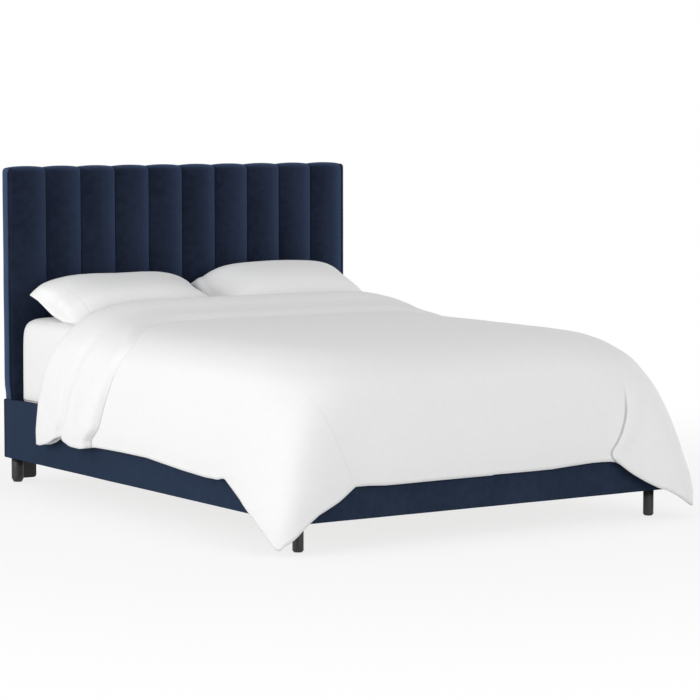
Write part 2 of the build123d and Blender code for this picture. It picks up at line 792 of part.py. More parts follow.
# DUVET
# Stations down the duvet's lining: height, reach past the lining's sides, corner radius, flare of the
# corner, and the slope of the wall there in degrees above level
lining_top = sheet_top + seat_gap
duvet_top = lining_top + duvet_wall
shoulder = lining_top - 176.0
skirt = shoulder - duvet_tip_height
duvet_stations = (
    (lining_top, -330, 150, 0.0, 88),
    (lining_top - 5, -250, 225, 0.0, 85),
    (lining_top - 14, -172, 305, 0.0, 79),
    (lining_top - 28, -122, 350, 0.0, 69),
    (lining_top - 50, -78, 360, 0.0, 55),
    (lining_top - 85, -40, 310, 0.0, 37),
    (lining_top - 122, -22, 230, 0.0, 17),
    (shoulder, -15, 155, 0.0, 2),
    (shoulder - skirt * 0.2, -7, 54, 0.42, 0),
    (shoulder - skirt * 0.4, -2, 42, 0.7, 0),
    (shoulder - skirt * 0.6, 0, 36, 0.84, 0),
    (shoulder - skirt * 0.8, 0, 30, 0.9, 0),
    (shoulder - skirt, 0, 26, 1.0, 0),
)


def duvet_outline(reach, radius, flare, push):
    """Half outline of the duvet at one height: from the side, round the corner, to the foot."""
    half = lining_half + reach + push
    foot = lining_foot + reach + push
    if flare == 0:
        # Above the flare the corner is a soft round, a little squarer than a circle
        ring = []
        round_in = radius + push
        for turn, swell in ((0, 0), (13, 1), (26, 0), (45, -1.5), (64, 0), (77, 1), (90, 0)):
            arm = Vector(round_in - swell, 0, 0).rotate(Axis.Z, turn)
            ring.append((half - round_in + arm.X, foot - round_in + arm.Y))
        return ring
    tip = radius + push
    mid_x = lining_half + flare * duvet_tip_side - (1 - flare) * 24 + push - tip
    mid_y = lining_foot + flare * duvet_tip_foot - (1 - flare) * 24 + push - tip
    turn_in = Vector(tip, 0, 0).rotate(Axis.Z, -12)
    turn_out = Vector(tip, 0, 0).rotate(Axis.Z, 102)
    diagonal = Vector(tip, 0, 0).rotate(Axis.Z, 45)
    first = (mid_x + turn_in.X, mid_y + turn_in.Y)
    second = (mid_x + turn_out.X, mid_y + turn_out.Y)
    start = (half, foot - 150 - 130 * flare)
    end = (half - 130 - 110 * flare, foot)
    bend = 6 * flare
    return [
        start,
        ((start[0] + first[0]) / 2 - bend, (start[1] + first[1]) / 2),
        first,
        (mid_x + diagonal.X, mid_y + diagonal.Y),
        second,
        ((second[0] + end[0]) / 2, (second[1] + end[1]) / 2 - bend),
        end,
    ]


def duvet_body(wall, head):
    """The draped duvet as a closed form, this wall larger than its lining, from the head end to the foot."""
    with BuildPart() as piece:
        for height, reach, radius, flare, slope in duvet_stations:
            normal = Vector(wall, 0, 0).rotate(Axis.Z, slope)
            ring = [(x, at(d)) for x, d in duvet_outline(reach, radius, flare, normal.X)]
            other = [(-x, y) for x, y in reversed(ring)]
            with BuildSketch(Plane.XY.offset(height + normal.Y)):
                with BuildLine():
                    Line((ring[0][0], at(head)), ring[0])
                    ThreePointArc(ring[0], ring[1], ring[2])
                    ThreePointArc(ring[2], ring[3], ring[4])
                    ThreePointArc(ring[4], ring[5], ring[6])
                    Line(ring[6], other[0])
                    ThreePointArc(other[0], other[1], other[2])
                    ThreePointArc(other[2], other[3], other[4])
                    ThreePointArc(other[4], other[5], other[6])
                    Line(other[6], (other[6][0], at(head)))
                    Line((other[6][0], at(head)), (ring[0][0], at(head)))
                make_face()
        loft(ruled=True)
    return piece


side_head = duvet_head - 150.0
band_end = duvet_head + 330.0


def duvet_fold(distance, top_puff, side_puff):
    """One station of the turned-back band that lies over the duvet's head end."""
    low = duvet_hem - 60.0
    waist = duvet_top - 118.0
    crest = duvet_top + top_puff
    mid_wall = duvet_wall / 2
    out_low = duvet_half + side_puff
    out_waist = duvet_half - 26 + side_puff
    bend = (duvet_half - 84 + side_puff * 0.7, duvet_top - 53 + top_puff * 0.7)
    flat = (duvet_half - 184, crest - 14)
    in_waist = duvet_half - 26 - mid_wall
    in_bend = (duvet_half - 84 - mid_wall * 0.6, duvet_top - 53 - mid_wall * 0.8)
    in_flat = (duvet_half - 184, duvet_top - 14 - mid_wall)
    with BuildSketch(Plane.XZ.offset(-at(distance))) as station:
        with BuildLine():
            Line((out_low, low), (out_waist, waist))
            ThreePointArc((out_waist, waist), bend, flat)
            ThreePointArc(flat, (0, crest), (-flat[0], flat[1]))
            ThreePointArc((-flat[0], flat[1]), (-bend[0], bend[1]), (-out_waist, waist))
            Line((-out_waist, waist), (-out_low, low))
            Line((-out_low, low), (-duvet_half + mid_wall, low))
            Line((-duvet_half + mid_wall, low), (-in_waist, waist))
            ThreePointArc((-in_waist, waist), (-in_bend[0], in_bend[1]), (-in_flat[0], in_flat[1]))
            ThreePointArc((-in_flat[0], in_flat[1]), (0, duvet_top - mid_wall), in_flat)
            ThreePointArc(in_flat, in_bend, (in_waist, waist))
            Line((in_waist, waist), (duvet_half - mid_wall, low))
            Line((duvet_half - mid_wall, low), (out_low, low))
        make_face()
    return station.sketch


# Shares of the band's run and of its two puffs there: a thick roll at the head, a crease, a second roll,
# a thin free edge
fold_stations = (
    (0.0, 0.3, 0.1),
    (0.06, 0.5, 0.75),
    (0.17, 0.7, 1.0),
    (0.29, 0.85, 0.8),
    (0.37, 0.9, 0.2),
    (0.46, 1.0, 0.8),
    (0.57, 1.0, 1.0),
    (0.69, 0.55, 0.7),
    (0.76, 0.75, 0.4),
    (0.88, 0.6, 0.3),
    (1.0, 0.02, 0.02),
)
band_run = band_end - side_head

band_sections = [
    duvet_fold(side_head + share * band_run, 1 + top * duvet_fold_puff, 1 + side * duvet_band_puff)
    for share, top, side in fold_stations
]
with BuildPart() as band:
    loft(band_sections, ruled=True)

duvet_outside = duvet_body(duvet_wall, side_head)
duvet_inside = duvet_body(0, side_head - 60)
with BuildPart() as duvet:
    add(duvet_outside.part)
    add(duvet_inside.part, mode=Mode.SUBTRACT)
    add(band.part)
    # The hem along the sides waves gently, then drops to the corner tips
    flap = duvet_foot - 430.0
    with BuildSketch(Plane.YZ.offset(-2 * duvet_half)):
        with BuildLine():
            Line((at(side_head - 80), -20), (at(side_head - 80), duvet_hem - 20))
            Line((at(side_head - 80), duvet_hem - 20), (at(side_head + 36), duvet_hem - 25))
            ThreePointArc(
                (at(side_head + 36), duvet_hem - 25),
                (at(side_head + 115), duvet_hem - 16),
                (at(side_head + 180), duvet_hem + 11),
            )
            ThreePointArc(
                (at(side_head + 180), duvet_hem + 11),
                (at(side_head + 296), duvet_hem - 6),
                (at(side_head + 420), duvet_hem + 6),
            )
            ThreePointArc(
                (at(side_head + 420), duvet_hem + 6),
                (at((side_head + 420 + flap) / 2 - 150), duvet_hem + 20),
                (at((side_head + 420 + flap) / 2 + 100), duvet_hem + 8),
            )
            ThreePointArc(
                (at((side_head + 420 + flap) / 2 + 100), duvet_hem + 8),
                (at(flap - 180), duvet_hem - 10),
                (at(flap), duvet_hem + 2),
            )
            Line((at(flap), duvet_hem + 2), (at(flap + 180), duvet_hem * 0.52))
            Line((at(flap + 180), duvet_hem * 0.52), (at(duvet_foot - 20), duvet_tip_height + 20))
            Line((at(duvet_foot - 20), duvet_tip_height + 20), (at(duvet_tip + 20), duvet_tip_height))
            Line((at(duvet_tip + 20), duvet_tip_height), (at(duvet_tip + 20), -20))
            Line((at(duvet_tip + 20), -20), (at(side_head - 80), -20))
        make_face()
    extrude(amount=4 * duvet_half, mode=Mode.SUBTRACT)
    # The foot hem is level and drops to both tips
    with BuildSketch(Plane.XZ.offset(-at(duvet_foot - duvet_wall - 20))):
        with BuildLine():
            Polyline(
                (-duvet_half - 250, duvet_tip_height),
                (-duvet_half - duvet_tip_side, duvet_tip_height),
                (-duvet_half - 12, duvet_hem * 0.26),
                (-duvet_half + 85, duvet_hem * 0.56),
                (-duvet_half + 180, duvet_hem * 0.75),
                (-duvet_half + 260, duvet_hem + 6),
                (duvet_half - 260, duvet_hem + 6),
                (duvet_half - 180, duvet_hem * 0.75),
                (duvet_half - 85, duvet_hem * 0.56),
                (duvet_half + 12, duvet_hem * 0.26),
                (duvet_half + duvet_tip_side, duvet_tip_height),
                (duvet_half + 250, duvet_tip_height),
                (duvet_half + 250, -20),
                (-duvet_half - 250, -20),
                close=True,
            )
        make_face()
    extrude(amount=duvet_tip_foot + 120, mode=Mode.SUBTRACT)
    # The head edge: down in front of the pillows on top, further towards the head on the hanging sides
    with BuildSketch(Plane.YZ.offset(-2 * duvet_half)):
        with BuildLine():
            Polyline(
                (at(side_head - 100), -20),
                (at(side_head - 100), duvet_top + 200),
                (at(duvet_head), duvet_top + 200),
                (at(duvet_head), duvet_top - 98),
                (at(duvet_head - 72), duvet_top - 175),
                (at(duvet_head - 116), duvet_top - 290),
                (at(side_head + 8), duvet_top - 385),
                (at(side_head + 2), -20),
                close=True,
            )
        make_face()
    extrude(amount=4 * duvet_half, mode=Mode.SUBTRACT)
    # The top and the drop meet at a seam just above the rails
    split(bisect_by=Plane.XY.offset(rail_top + duvet_drop_above_rail), keep=Keep.BOTH)
keep(duvet, "duvet")
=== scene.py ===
"""A queen bed with a channelled velvet headboard, made up with two pillows and a draped duvet."""

import logging
import math
from collections.abc import Callable, Sequence
from dataclasses import dataclass
from enum import Enum

import bmesh
import bpy
import numpy as np
from mathutils import Matrix, Vector, noise
from mathutils.bvhtree import BVHTree


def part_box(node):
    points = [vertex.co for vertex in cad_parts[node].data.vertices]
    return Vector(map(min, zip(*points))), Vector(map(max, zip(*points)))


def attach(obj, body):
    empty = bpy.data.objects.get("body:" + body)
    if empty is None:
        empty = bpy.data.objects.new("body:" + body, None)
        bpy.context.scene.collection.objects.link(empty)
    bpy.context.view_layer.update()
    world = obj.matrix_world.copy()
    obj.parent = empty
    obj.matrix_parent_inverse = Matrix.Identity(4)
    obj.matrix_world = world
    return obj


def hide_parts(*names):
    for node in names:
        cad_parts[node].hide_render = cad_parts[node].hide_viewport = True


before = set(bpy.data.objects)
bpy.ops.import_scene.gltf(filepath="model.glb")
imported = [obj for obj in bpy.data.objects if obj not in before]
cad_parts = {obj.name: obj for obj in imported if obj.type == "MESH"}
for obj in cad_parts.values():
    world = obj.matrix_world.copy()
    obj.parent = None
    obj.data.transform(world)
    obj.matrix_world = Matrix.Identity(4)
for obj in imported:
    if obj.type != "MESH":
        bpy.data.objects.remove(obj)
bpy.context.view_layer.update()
LOG = logging.getLogger("bed")

Colour = tuple[float, float, float]
Points = tuple[tuple[float, float], ...]
Surface = Callable[[float, float], Vector]
Shape = bmesh.types.BMesh
Piece = bpy.types.Object
Node = bpy.types.Node
Socket = bpy.types.NodeSocket
Sockets = dict[str, Socket]

TOUCH = 1e-5


class Body(Enum):
    """The moving bodies that the new pieces ride on."""

    FRAME = "bed_frame"
    MATTRESS = "mattress"
    PILLOW_LEFT = "pillow_left"
    PILLOW_RIGHT = "pillow_right"
    DUVET = "duvet"


class Slot(Enum):
    """The record's material slots of the new pieces; nothing reads them."""

    NAVY_VELVET = "navy_velvet"
    BLACK_LACQUER = "black_lacquer"
    TICKING = "ticking"
    WHITE_COTTON = "white_cotton"


class Side(Enum):
    """A side of the bed, seen from its foot."""

    LEFT = -1
    RIGHT = 1

    @property
    def word(self) -> str:
        """The side as it stands in the names of pieces and nodes."""
        return self.name.lower()


class Along(Enum):
    """The direction that a board's grain runs in."""

    X = (0.05, 1.0, 1.0)
    Y = (1.0, 0.05, 1.0)
    Z = (1.0, 1.0, 0.05)


class Effect(Enum):
    """The shared surface effects: each node group's name and what it is given besides the place."""

    NAP = ("velvet nap",)
    WEAVE = ("plain weave", "Threads")
    GRAIN = ("wood grain",)
    MOTTLE = ("soft mottle", "Scale")
    STITCH = ("stitched line", "From hem", "Line")
    # FOLD paints shade along fold lines
    FOLD = ("fold line", "Line", "Depth")


class Wiring:
    """Short calls for placing and joining the nodes of one tree."""

    def __init__(self, tree: bpy.types.NodeTree) -> None:
        """Work on the node tree of a material, a group or a world."""
        self.tree = tree

    def node(self, kind: str, **settings: object) -> Node:
        """Place a node.

        Args:
            kind: The node's type name.
            settings: Properties to set on it.

        Returns:
            The new node.
        """
        made = self.tree.nodes.new(kind)
        for name, value in settings.items():
            setattr(made, name, value)
        return made

    def join(self, source: Socket, sink: Socket) -> None:
        """Wire one socket to another."""
        self.tree.links.new(source, sink)

    def feed(self, made: Node, inputs: dict[str | int, object]) -> Node:
        """Give a node's inputs their values.

        Args:
            made: The node.
            inputs: A number, a tuple or another node's output for each input, by its name or number.

        Returns:
            The same node.
        """
        for name, value in inputs.items():
            if isinstance(value, Socket):
                self.join(value, made.inputs[name])
            else:
                made.inputs[name].default_value = value
        return made

    def maths(self, operation: str, first: object, second: object = 0.0) -> Socket:
        """Combine two numbers or sockets by a Math node's operation."""
        return self.feed(self.node("ShaderNodeMath", operation=operation), {0: first, 1: second}).outputs[0]

    def speckle(self, place: Socket, scale: float, detail: float) -> Socket:
        """Smooth noise from 0 to 1, with so many lumps a metre and so many finer layers."""
        made = self.node("ShaderNodeTexNoise")
        return self.feed(made, {"Vector": place, "Scale": scale, "Detail": detail}).outputs["Fac"]

    def stretched(self, place: Socket, scale: Colour) -> Socket:
        """The same place in a space that is scaled along each axis."""
        return self.feed(self.node("ShaderNodeMapping"), {"Vector": place, "Scale": scale}).outputs["Vector"]

    def scaled(self, place: Socket, factor: Socket) -> Socket:
        """The same place in a space that is scaled evenly."""
        made = self.node("ShaderNodeVectorMath", operation="SCALE")
        return self.feed(made, {0: place, "Scale": factor}).outputs[0]

    def between(self, value: Socket, low: float, high: float) -> Socket:
        """Spread a range of a value over 0 to 1, eased at both ends."""
        made = self.node("ShaderNodeMapRange", interpolation_type="SMOOTHSTEP")
        return self.feed(made, {"Value": value, "From Min": low, "From Max": high}).outputs["Result"]

    def carried(self, name: str) -> Socket:
        """A value that the piece carries at its points."""
        return self.node("ShaderNodeAttribute", attribute_name=name).outputs["Fac"]

    def tint(self, mask: Socket, first: object, second: object) -> Socket:
        """Mix two colours by a mask.

        Args:
            mask: The mask.
            first: The colour at 0, or a socket that gives it.
            second: The colour at 1, or a socket that gives it.

        Returns:
            The mixed colour's socket.
        """
        made = self.node("ShaderNodeMix", data_type="RGBA")
        ends = [number for number, socket in enumerate(made.inputs) if socket.type == "RGBA"]
        colours = [(*colour, 1.0) if isinstance(colour, tuple) else colour for colour in (first, second)]
        self.feed(made, {"Factor": mask, **dict(zip(ends, colours))})
        return next(socket for socket in made.outputs if socket.type == "RGBA")


@dataclass(frozen=True)
class EffectLibrary:
    """Builds each shared effect the first time that a finish asks for it. Scales are lumps a metre."""

    groups: dict[Effect, bpy.types.NodeTree]
    brushed_upwards: Colour = (1.0, 1.0, 0.45)
    patches: float = 7.0
    strokes: float = 34.0
    tufts: float = 1500.0
    slubs: float = 60.0
    rings: float = 9.0
    ring_turns: float = 46.0
    pores: float = 160.0
    peel: float = 18.0
    stitch_width: float = 0.0035
    # gap_width: how wide the painted shade along folds is, in metres
    gap_width: float = 0.008

    def group(self, effect: Effect) -> bpy.types.NodeTree:
        """The node group of an effect, built on the first call.

        Args:
            effect: Which one.

        Returns:
            Its group.
        """
        if effect not in self.groups:
            name, *inputs = effect.value
            tree = bpy.data.node_groups.new(name, "ShaderNodeTree")
            tree.interface.new_socket("Vector", in_out="INPUT", socket_type="NodeSocketVector")
            for name in inputs:
                tree.interface.new_socket(name, in_out="INPUT", socket_type="NodeSocketFloat")
            wires = Wiring(tree)
            given = {socket.name: socket for socket in wires.node("NodeGroupInput").outputs}
            results = getattr(self, f"_{effect.name.lower()}")(wires, given)
            for name in results:
                tree.interface.new_socket(name, in_out="OUTPUT", socket_type="NodeSocketFloat")
            wires.feed(wires.node("NodeGroupOutput"), results)
            self.groups[effect] = tree
        return self.groups[effect]

    def _nap(self, wires: Wiring, given: Sockets) -> Sockets:
        """Brushed patches and single tufts of a velvet pile."""
        upright = wires.stretched(given["Vector"], self.brushed_upwards)
        broad = wires.maths("MULTIPLY", wires.speckle(upright, self.patches, 3.0), 0.5)
        small = wires.maths("MULTIPLY", wires.speckle(given["Vector"], self.strokes, 3.0), 0.5)
        brushed = wires.between(wires.maths("ADD", broad, small), 0.36, 0.64)
        return {"Brushed": brushed, "Tufts": wires.speckle(given["Vector"], self.tufts, 2.0)}

    def _weave(self, wires: Wiring, given: Sockets) -> Sockets:
        """Threads that go over and under each other on faces of any direction."""
        counted = wires.scaled(given["Vector"], given["Threads"])
        waved = wires.feed(wires.node("ShaderNodeVectorMath", operation="SINE"), {0: counted})
        x, y, z = wires.feed(wires.node("ShaderNodeSeparateXYZ"), {0: waved.outputs[0]}).outputs
        crossed = wires.maths("ADD", wires.maths("MULTIPLY", x, y), wires.maths("MULTIPLY", y, z))
        crossed = wires.maths("ADD", crossed, wires.maths("MULTIPLY", z, x))
        slub = wires.speckle(given["Vector"], self.slubs, 4.0)
        return {"Threads height": wires.between(crossed, -1.2, 1.2), "Slub": slub}

    def _grain(self, wires: Wiring, given: Sockets) -> Sockets:
        """Long rings and short pores of sawn timber, with the grain along the stretched axis."""
        bent = wires.maths("MULTIPLY", wires.speckle(given["Vector"], self.rings, 3.0), self.ring_turns)
        rings = wires.between(wires.maths("SINE", bent), -0.9, 1.0)
        return {"Rings": rings, "Pores": wires.speckle(given["Vector"], self.pores, 3.0)}

    def _mottle(self, wires: Wiring, given: Sockets) -> Sockets:
        """A soft unevenness, broad and fine."""
        grown = wires.scaled(given["Vector"], given["Scale"])
        broad = wires.between(wires.speckle(grown, 1.0, 3.0), 0.3, 0.7)
        return {"Broad": broad, "Fine": wires.speckle(grown, self.peel, 4.0)}

    def _stitch(self, wires: Wiring, given: Sockets) -> Sockets:
        """A sewn line: a groove a set distance from a hem."""
        away = wires.maths("ABSOLUTE", wires.maths("SUBTRACT", given["From hem"], given["Line"]))
        return {"Groove": wires.between(away, 0.0, self.stitch_width)}

    def _fold(self, wires: Wiring, given: Sockets) -> Sockets:
        """Painted shade: a narrow dark line where one layer of cloth lies over another."""
        open_cloth = wires.between(wires.maths("ABSOLUTE", given["Line"]), 0.0, self.gap_width)
        return {"Gap": wires.maths("MULTIPLY", wires.maths("SUBTRACT", 1.0, open_cloth), given["Depth"])}


EFFECTS = EffectLibrary({})


@dataclass(frozen=True)
class Finish:
    """What every finish has: a name, a colour for dark places and one for light places."""

    name: str
    deep: Colour
    light: Colour
    roughness: float

    def material(self) -> bpy.types.Material:
        """The finish's material, made on the first call.

        Returns:
            The material.
        """
        made = bpy.data.materials.get(self.name)
        if made is None:
            made = bpy.data.materials.new(self.name)
            made.use_nodes = True
            wires = Wiring(made.node_tree)
            shader = wires.feed(made.node_tree.nodes["Principled BSDF"], {"Roughness": self.roughness})
            self.shade(wires, shader, wires.node("ShaderNodeTexCoord").outputs["Object"])
            made.diffuse_color = (*self.light, 1.0)
        return made

    def shade(self, wires: Wiring, shader: Node, place: Socket) -> None:
        """Wire the finish's own effects.

        Args:
            wires: The material's wiring.
            shader: Its Principled BSDF.
            place: Object coordinates.
        """
        raise NotImplementedError

    @staticmethod
    def effect(wires: Wiring, effect: Effect, **inputs: object) -> bpy.types.NodeOutputs:
        """Place a shared effect, with _ for a space in its inputs' names, and give its outputs."""
        made = wires.node("ShaderNodeGroup", node_tree=EFFECTS.group(effect))
        return wires.feed(made, {name.replace("_", " "): value for name, value in inputs.items()}).outputs

    @staticmethod
    def bump(wires: Wiring, shader: Node, height: Socket, distance: float, strength: float) -> None:
        """Raise the surface by a height; a second call adds to the first.

        Args:
            wires: The material's wiring.
            shader: Its Principled BSDF.
            height: The height's socket, from 0 to 1.
            distance: Metres that a height of 1 stands for.
            strength: How strong it shows.
        """
        made = wires.node("ShaderNodeBump")
        wires.feed(made, {"Strength": strength, "Distance": distance, "Height": height})
        before = shader.inputs["Normal"].links
        if before:
            wires.join(before[0].from_socket, made.inputs["Normal"])
        wires.join(made.outputs["Normal"], shader.inputs["Normal"])


@dataclass(frozen=True)
class Velvet(Finish):
    """A short upright pile in navy, with a painted sheen: its base colour is lightened towards glancing view
    angles.
    """

    # rim and the two fields after it: the painted sheen, a lighter base colour mixed in at glancing view
    # angles
    rim: Colour = (0.066, 0.099, 0.186)
    rim_reach: float = 0.75
    rim_power: float = 1.3
    sheen: float = 0.04
    sheen_roughness: float = 0.38
    sheen_tint: Colour = (0.42, 0.52, 0.85)

    def shade(self, wires: Wiring, shader: Node, place: Socket) -> None:
        """Nap in the colour, a painted sheen that lightens the colour by view angle, tufts in the surface and
        a blue sheen.
        """
        nap = self.effect(wires, Effect.NAP, Vector=place)
        # painted sheen: the colour is mixed towards the rim colour as the surface turns away from the view
        facing = wires.node("ShaderNodeLayerWeight").outputs["Facing"]
        painted_sheen_mask = wires.maths("POWER", wires.maths("DIVIDE", facing, self.rim_reach), self.rim_power)
        pile = wires.tint(nap["Brushed"], self.deep, self.light)
        self.bump(wires, shader, nap["Tufts"], distance=0.0006, strength=0.5)
        self.bump(wires, shader, nap["Brushed"], distance=0.0012, strength=0.35)
        wires.feed(shader, {"Base Color": wires.tint(painted_sheen_mask, pile, self.rim), "Specular IOR Level": 0.0})
        wires.feed(shader, {"Sheen Weight": self.sheen, "Sheen Roughness": self.sheen_roughness})
        wires.feed(shader, {"Sheen Tint": (*self.sheen_tint, 1.0)})


@dataclass(frozen=True)
class Woven(Finish):
    """A woven cloth; stitches show as grooves and folds as painted shade where the piece carries attributes
    for them.
    """

    threads: float = 5200.0
    slub: float = 0.5
    sheen: float = 0.1
    sheen_roughness: float = 0.5
    specular: float = 0.2
    hem_line: float = 0.0
    # fold: the colour of painted shade laid along fold lines
    fold: Colour | None = None

    def shade(self, wires: Wiring, shader: Node, place: Socket) -> None:
        """Threads in the surface, slubs in the colour, the grooves of hems and painted shade along folds."""
        weave = self.effect(wires, Effect.WEAVE, Vector=place, Threads=self.threads)
        slub = wires.between(weave["Slub"], 0.5 - self.slub / 2, 0.5 + self.slub / 2)
        colour = wires.tint(slub, self.deep, self.light)
        self.bump(wires, shader, weave["Threads height"], distance=0.0002, strength=0.4)
        self.bump(wires, shader, weave["Slub"], distance=0.0004, strength=0.15)
        if self.hem_line:
            run = wires.carried("from_hem")
            line = self.effect(wires, Effect.STITCH, Vector=place, From_hem=run, Line=self.hem_line)
            self.bump(wires, shader, line["Groove"], distance=0.0012, strength=0.6)
        # painted shade: the colour is darkened in a narrow line along each fold
        if self.fold:
            line, depth = wires.carried("fold_line"), wires.carried("fold_depth")
            painted_fold_shade = self.effect(wires, Effect.FOLD, Vector=place, Line=line, Depth=depth)["Gap"]
            colour = wires.tint(painted_fold_shade, colour, self.fold)
        wires.feed(shader, {"Base Color": colour, "Specular IOR Level": self.specular})
        wires.feed(shader, {"Sheen Weight": self.sheen, "Sheen Roughness": self.sheen_roughness})


@dataclass(frozen=True)
class Timber(Finish):
    """Sawn wood with its grain along one axis."""

    along: Along = Along.Y

    def shade(self, wires: Wiring, shader: Node, place: Socket) -> None:
        """Rings in the colour and pores in the surface."""
        grain = self.effect(wires, Effect.GRAIN, Vector=wires.stretched(place, self.along.value))
        wires.feed(shader, {"Base Color": wires.tint(grain["Rings"], self.deep, self.light)})
        self.bump(wires, shader, grain["Pores"], distance=0.0006, strength=0.4)


@dataclass(frozen=True)
class Coated(Finish):
    """Lacquer, powder coat, plating or moulded plastic, with small unevenness in its gloss."""

    metallic: float = 0.0
    coat: float = 0.0
    coat_roughness: float = 0.25
    mottle: float = 14.0
    spread: float = 0.12
    lump: float = 0.0002

    def shade(self, wires: Wiring, shader: Node, place: Socket) -> None:
        """Mottled gloss and colour with a faint orange peel."""
        mottle = self.effect(wires, Effect.MOTTLE, Vector=place, Scale=self.mottle)
        gloss = wires.maths("MULTIPLY", mottle["Fine"], 2 * self.spread)
        gloss = wires.maths("ADD", gloss, self.roughness - self.spread)
        colour = wires.tint(mottle["Broad"], self.deep, self.light)
        self.bump(wires, shader, mottle["Fine"], distance=self.lump, strength=0.4)
        wires.feed(shader, {"Base Color": colour, "Roughness": gloss, "Metallic": self.metallic})
        wires.feed(shader, {"Coat Weight": self.coat, "Coat Roughness": self.coat_roughness})


def grey(value: float) -> Colour:
    """An even grey."""
    return (value, value, value)


PINE = ((0.44, 0.27, 0.12), (0.60, 0.41, 0.21), 0.7)


@dataclass(frozen=True)
class Finishes:
    """All finishes of the bed."""

    velvet: Finish = Velvet("navy velvet", (0.0100, 0.0138, 0.0262), (0.0146, 0.0201, 0.0376), 0.9)
    # painted light: a lighter, flatter copy of the navy velvet, standing in for how the rails are lit
    rail_velvet: Finish = Velvet(
        "navy rail velvet", (0.0192, 0.0295, 0.0520), (0.0244, 0.0375, 0.0660), 0.9, (0.0275, 0.0420, 0.0760)
    )
    # fold: painted shade, the grey that the duvet darkens to along its folds
    bed_linen: Finish = Woven("white bed linen", grey(0.83), grey(0.845), 0.85, fold=(0.48, 0.48, 0.49))
    # painted light: a lighter copy of the white cotton, standing in for the pillows' brighter lit look
    pillow_linen: Finish = Woven("white pillow linen", grey(0.865), grey(0.88), 0.85, hem_line=0.095)
    sheet_linen: Finish = Woven("white sheet linen", grey(0.82), grey(0.835), 0.85)
    ticking: Finish = Woven("mattress ticking", (0.70, 0.70, 0.69), (0.80, 0.80, 0.79), 0.9, threads=2600.0)
    lacquer: Finish = Coated(
        "black satin lacquer", (0.006, 0.006, 0.008), (0.010, 0.010, 0.012), 0.5, coat=0.05
    )
    powder: Finish = Coated(
        "black powder coat", (0.012, 0.012, 0.013), (0.02, 0.02, 0.021), 0.55, lump=0.0004
    )
    plastic: Finish = Coated("black moulded plastic", grey(0.012), grey(0.018), 0.6)
    zinc: Finish = Coated("zinc plating", (0.50, 0.51, 0.52), (0.62, 0.63, 0.64), 0.35, metallic=1.0)
    cambric: Finish = Woven(
        "black cambric", (0.006, 0.006, 0.007), (0.016, 0.016, 0.017), 0.95, threads=3000.0
    )
    webbing: Finish = Woven("natural webbing", (0.46, 0.42, 0.34), (0.60, 0.56, 0.48), 0.9, threads=2200.0)
    plywood: Finish = Timber("raw plywood", (0.42, 0.28, 0.15), (0.55, 0.39, 0.23), 0.7, Along.Z)
    pine_x: Finish = Timber("pine across", *PINE, Along.X)
    pine_y: Finish = Timber("pine lengthways", *PINE, Along.Y)
    pine_z: Finish = Timber("pine upright", *PINE, Along.Z)


def eased(value: float, start: float, end: float) -> float:
    """A value's share of the span from start to end, from 0 to 1 and eased at both ends."""
    share = min(max((value - start) / (end - start), 0.0), 1.0)
    return share * share * (3.0 - 2.0 * share)


def bell(value: float, width: float) -> float:
    """A soft bump that is 1 at 0 and dies away over a width."""
    return math.exp(-((value / width) ** 2))


def crowded(value: float, power: float) -> float:
    """A value from -1 to 1, moved towards the nearer end."""
    return math.copysign(1.0 - (1.0 - abs(value)) ** power, value)


def steps_between(low: float, high: float, count: int) -> list[float]:
    """The places that divide a span evenly, without its ends."""
    return [low + (high - low) * step / count for step in range(1, count)]


def lumps(point: Vector, size: float, seed: float = 0.0) -> float:
    """Smooth noise from about -1 to 1, whose lumps have a size in metres."""
    return noise.noise(point / size + Vector((seed, 1.7 * seed, 0.6 * seed)))


def to_object(shape: Shape, name: str) -> Piece:
    """Put a finished bmesh into the scene.

    Args:
        shape: The bmesh, which is freed.
        name: The piece's name.

    Returns:
        The new object, at the origin.
    """
    mesh = bpy.data.meshes.new(name)
    shape.to_mesh(mesh)
    shape.free()
    mesh.shade_smooth()
    made = bpy.data.objects.new(name, mesh)
    bpy.context.scene.collection.objects.link(made)
    return made


def cloth_grid(across: int, along: int, surface: Surface) -> Shape:
    """A grid of quads laid over a surface.

    Args:
        across: How many quads it is wide.
        along: How many quads it is long.
        surface: The surface's point for two shares from 0 to 1.

    Returns:
        The bmesh.
    """
    shape = bmesh.new()
    bmesh.ops.create_grid(shape, x_segments=across, y_segments=along, size=1.0)
    for vert in shape.verts:
        vert.co = surface((vert.co.x + 1.0) / 2.0, (vert.co.y + 1.0) / 2.0)
    return shape


def boxed(low: Vector, high: Vector) -> Shape:
    """A box between two corners.

    Args:
        low: Its lowest corner.
        high: Its highest corner.

    Returns:
        The bmesh.
    """
    shape = bmesh.new()
    bmesh.ops.create_cube(shape, size=1.0)
    bmesh.ops.scale(shape, vec=high - low, verts=shape.verts)
    bmesh.ops.translate(shape, vec=(high + low) / 2.0, verts=shape.verts)
    return shape


def rounded(shape: Shape, edges: Sequence[bmesh.types.BMEdge], radius: float, steps: int = 5) -> None:
    """Round some edges of a bmesh, by a radius in metres and a number of faces."""
    shared = {"affect": "EDGES", "profile": 0.5, "material": -1, "clamp_overlap": True}
    bmesh.ops.bevel(shape, geom=list(edges), offset=radius, segments=steps, **shared)


def sliced(shape: Shape, axis: int, places: Sequence[float]) -> None:
    """Cut new edge loops across a bmesh.

    Args:
        shape: The bmesh.
        axis: 0, 1 or 2 for X, Y or Z.
        places: Where the cuts are, in metres.
    """
    normal = Vector((0.0, 0.0, 0.0))
    normal[axis] = 1.0
    for place in places:
        geometry = [*shape.verts, *shape.edges, *shape.faces]
        bmesh.ops.bisect_plane(shape, geom=geometry, plane_co=normal * place, plane_no=normal)


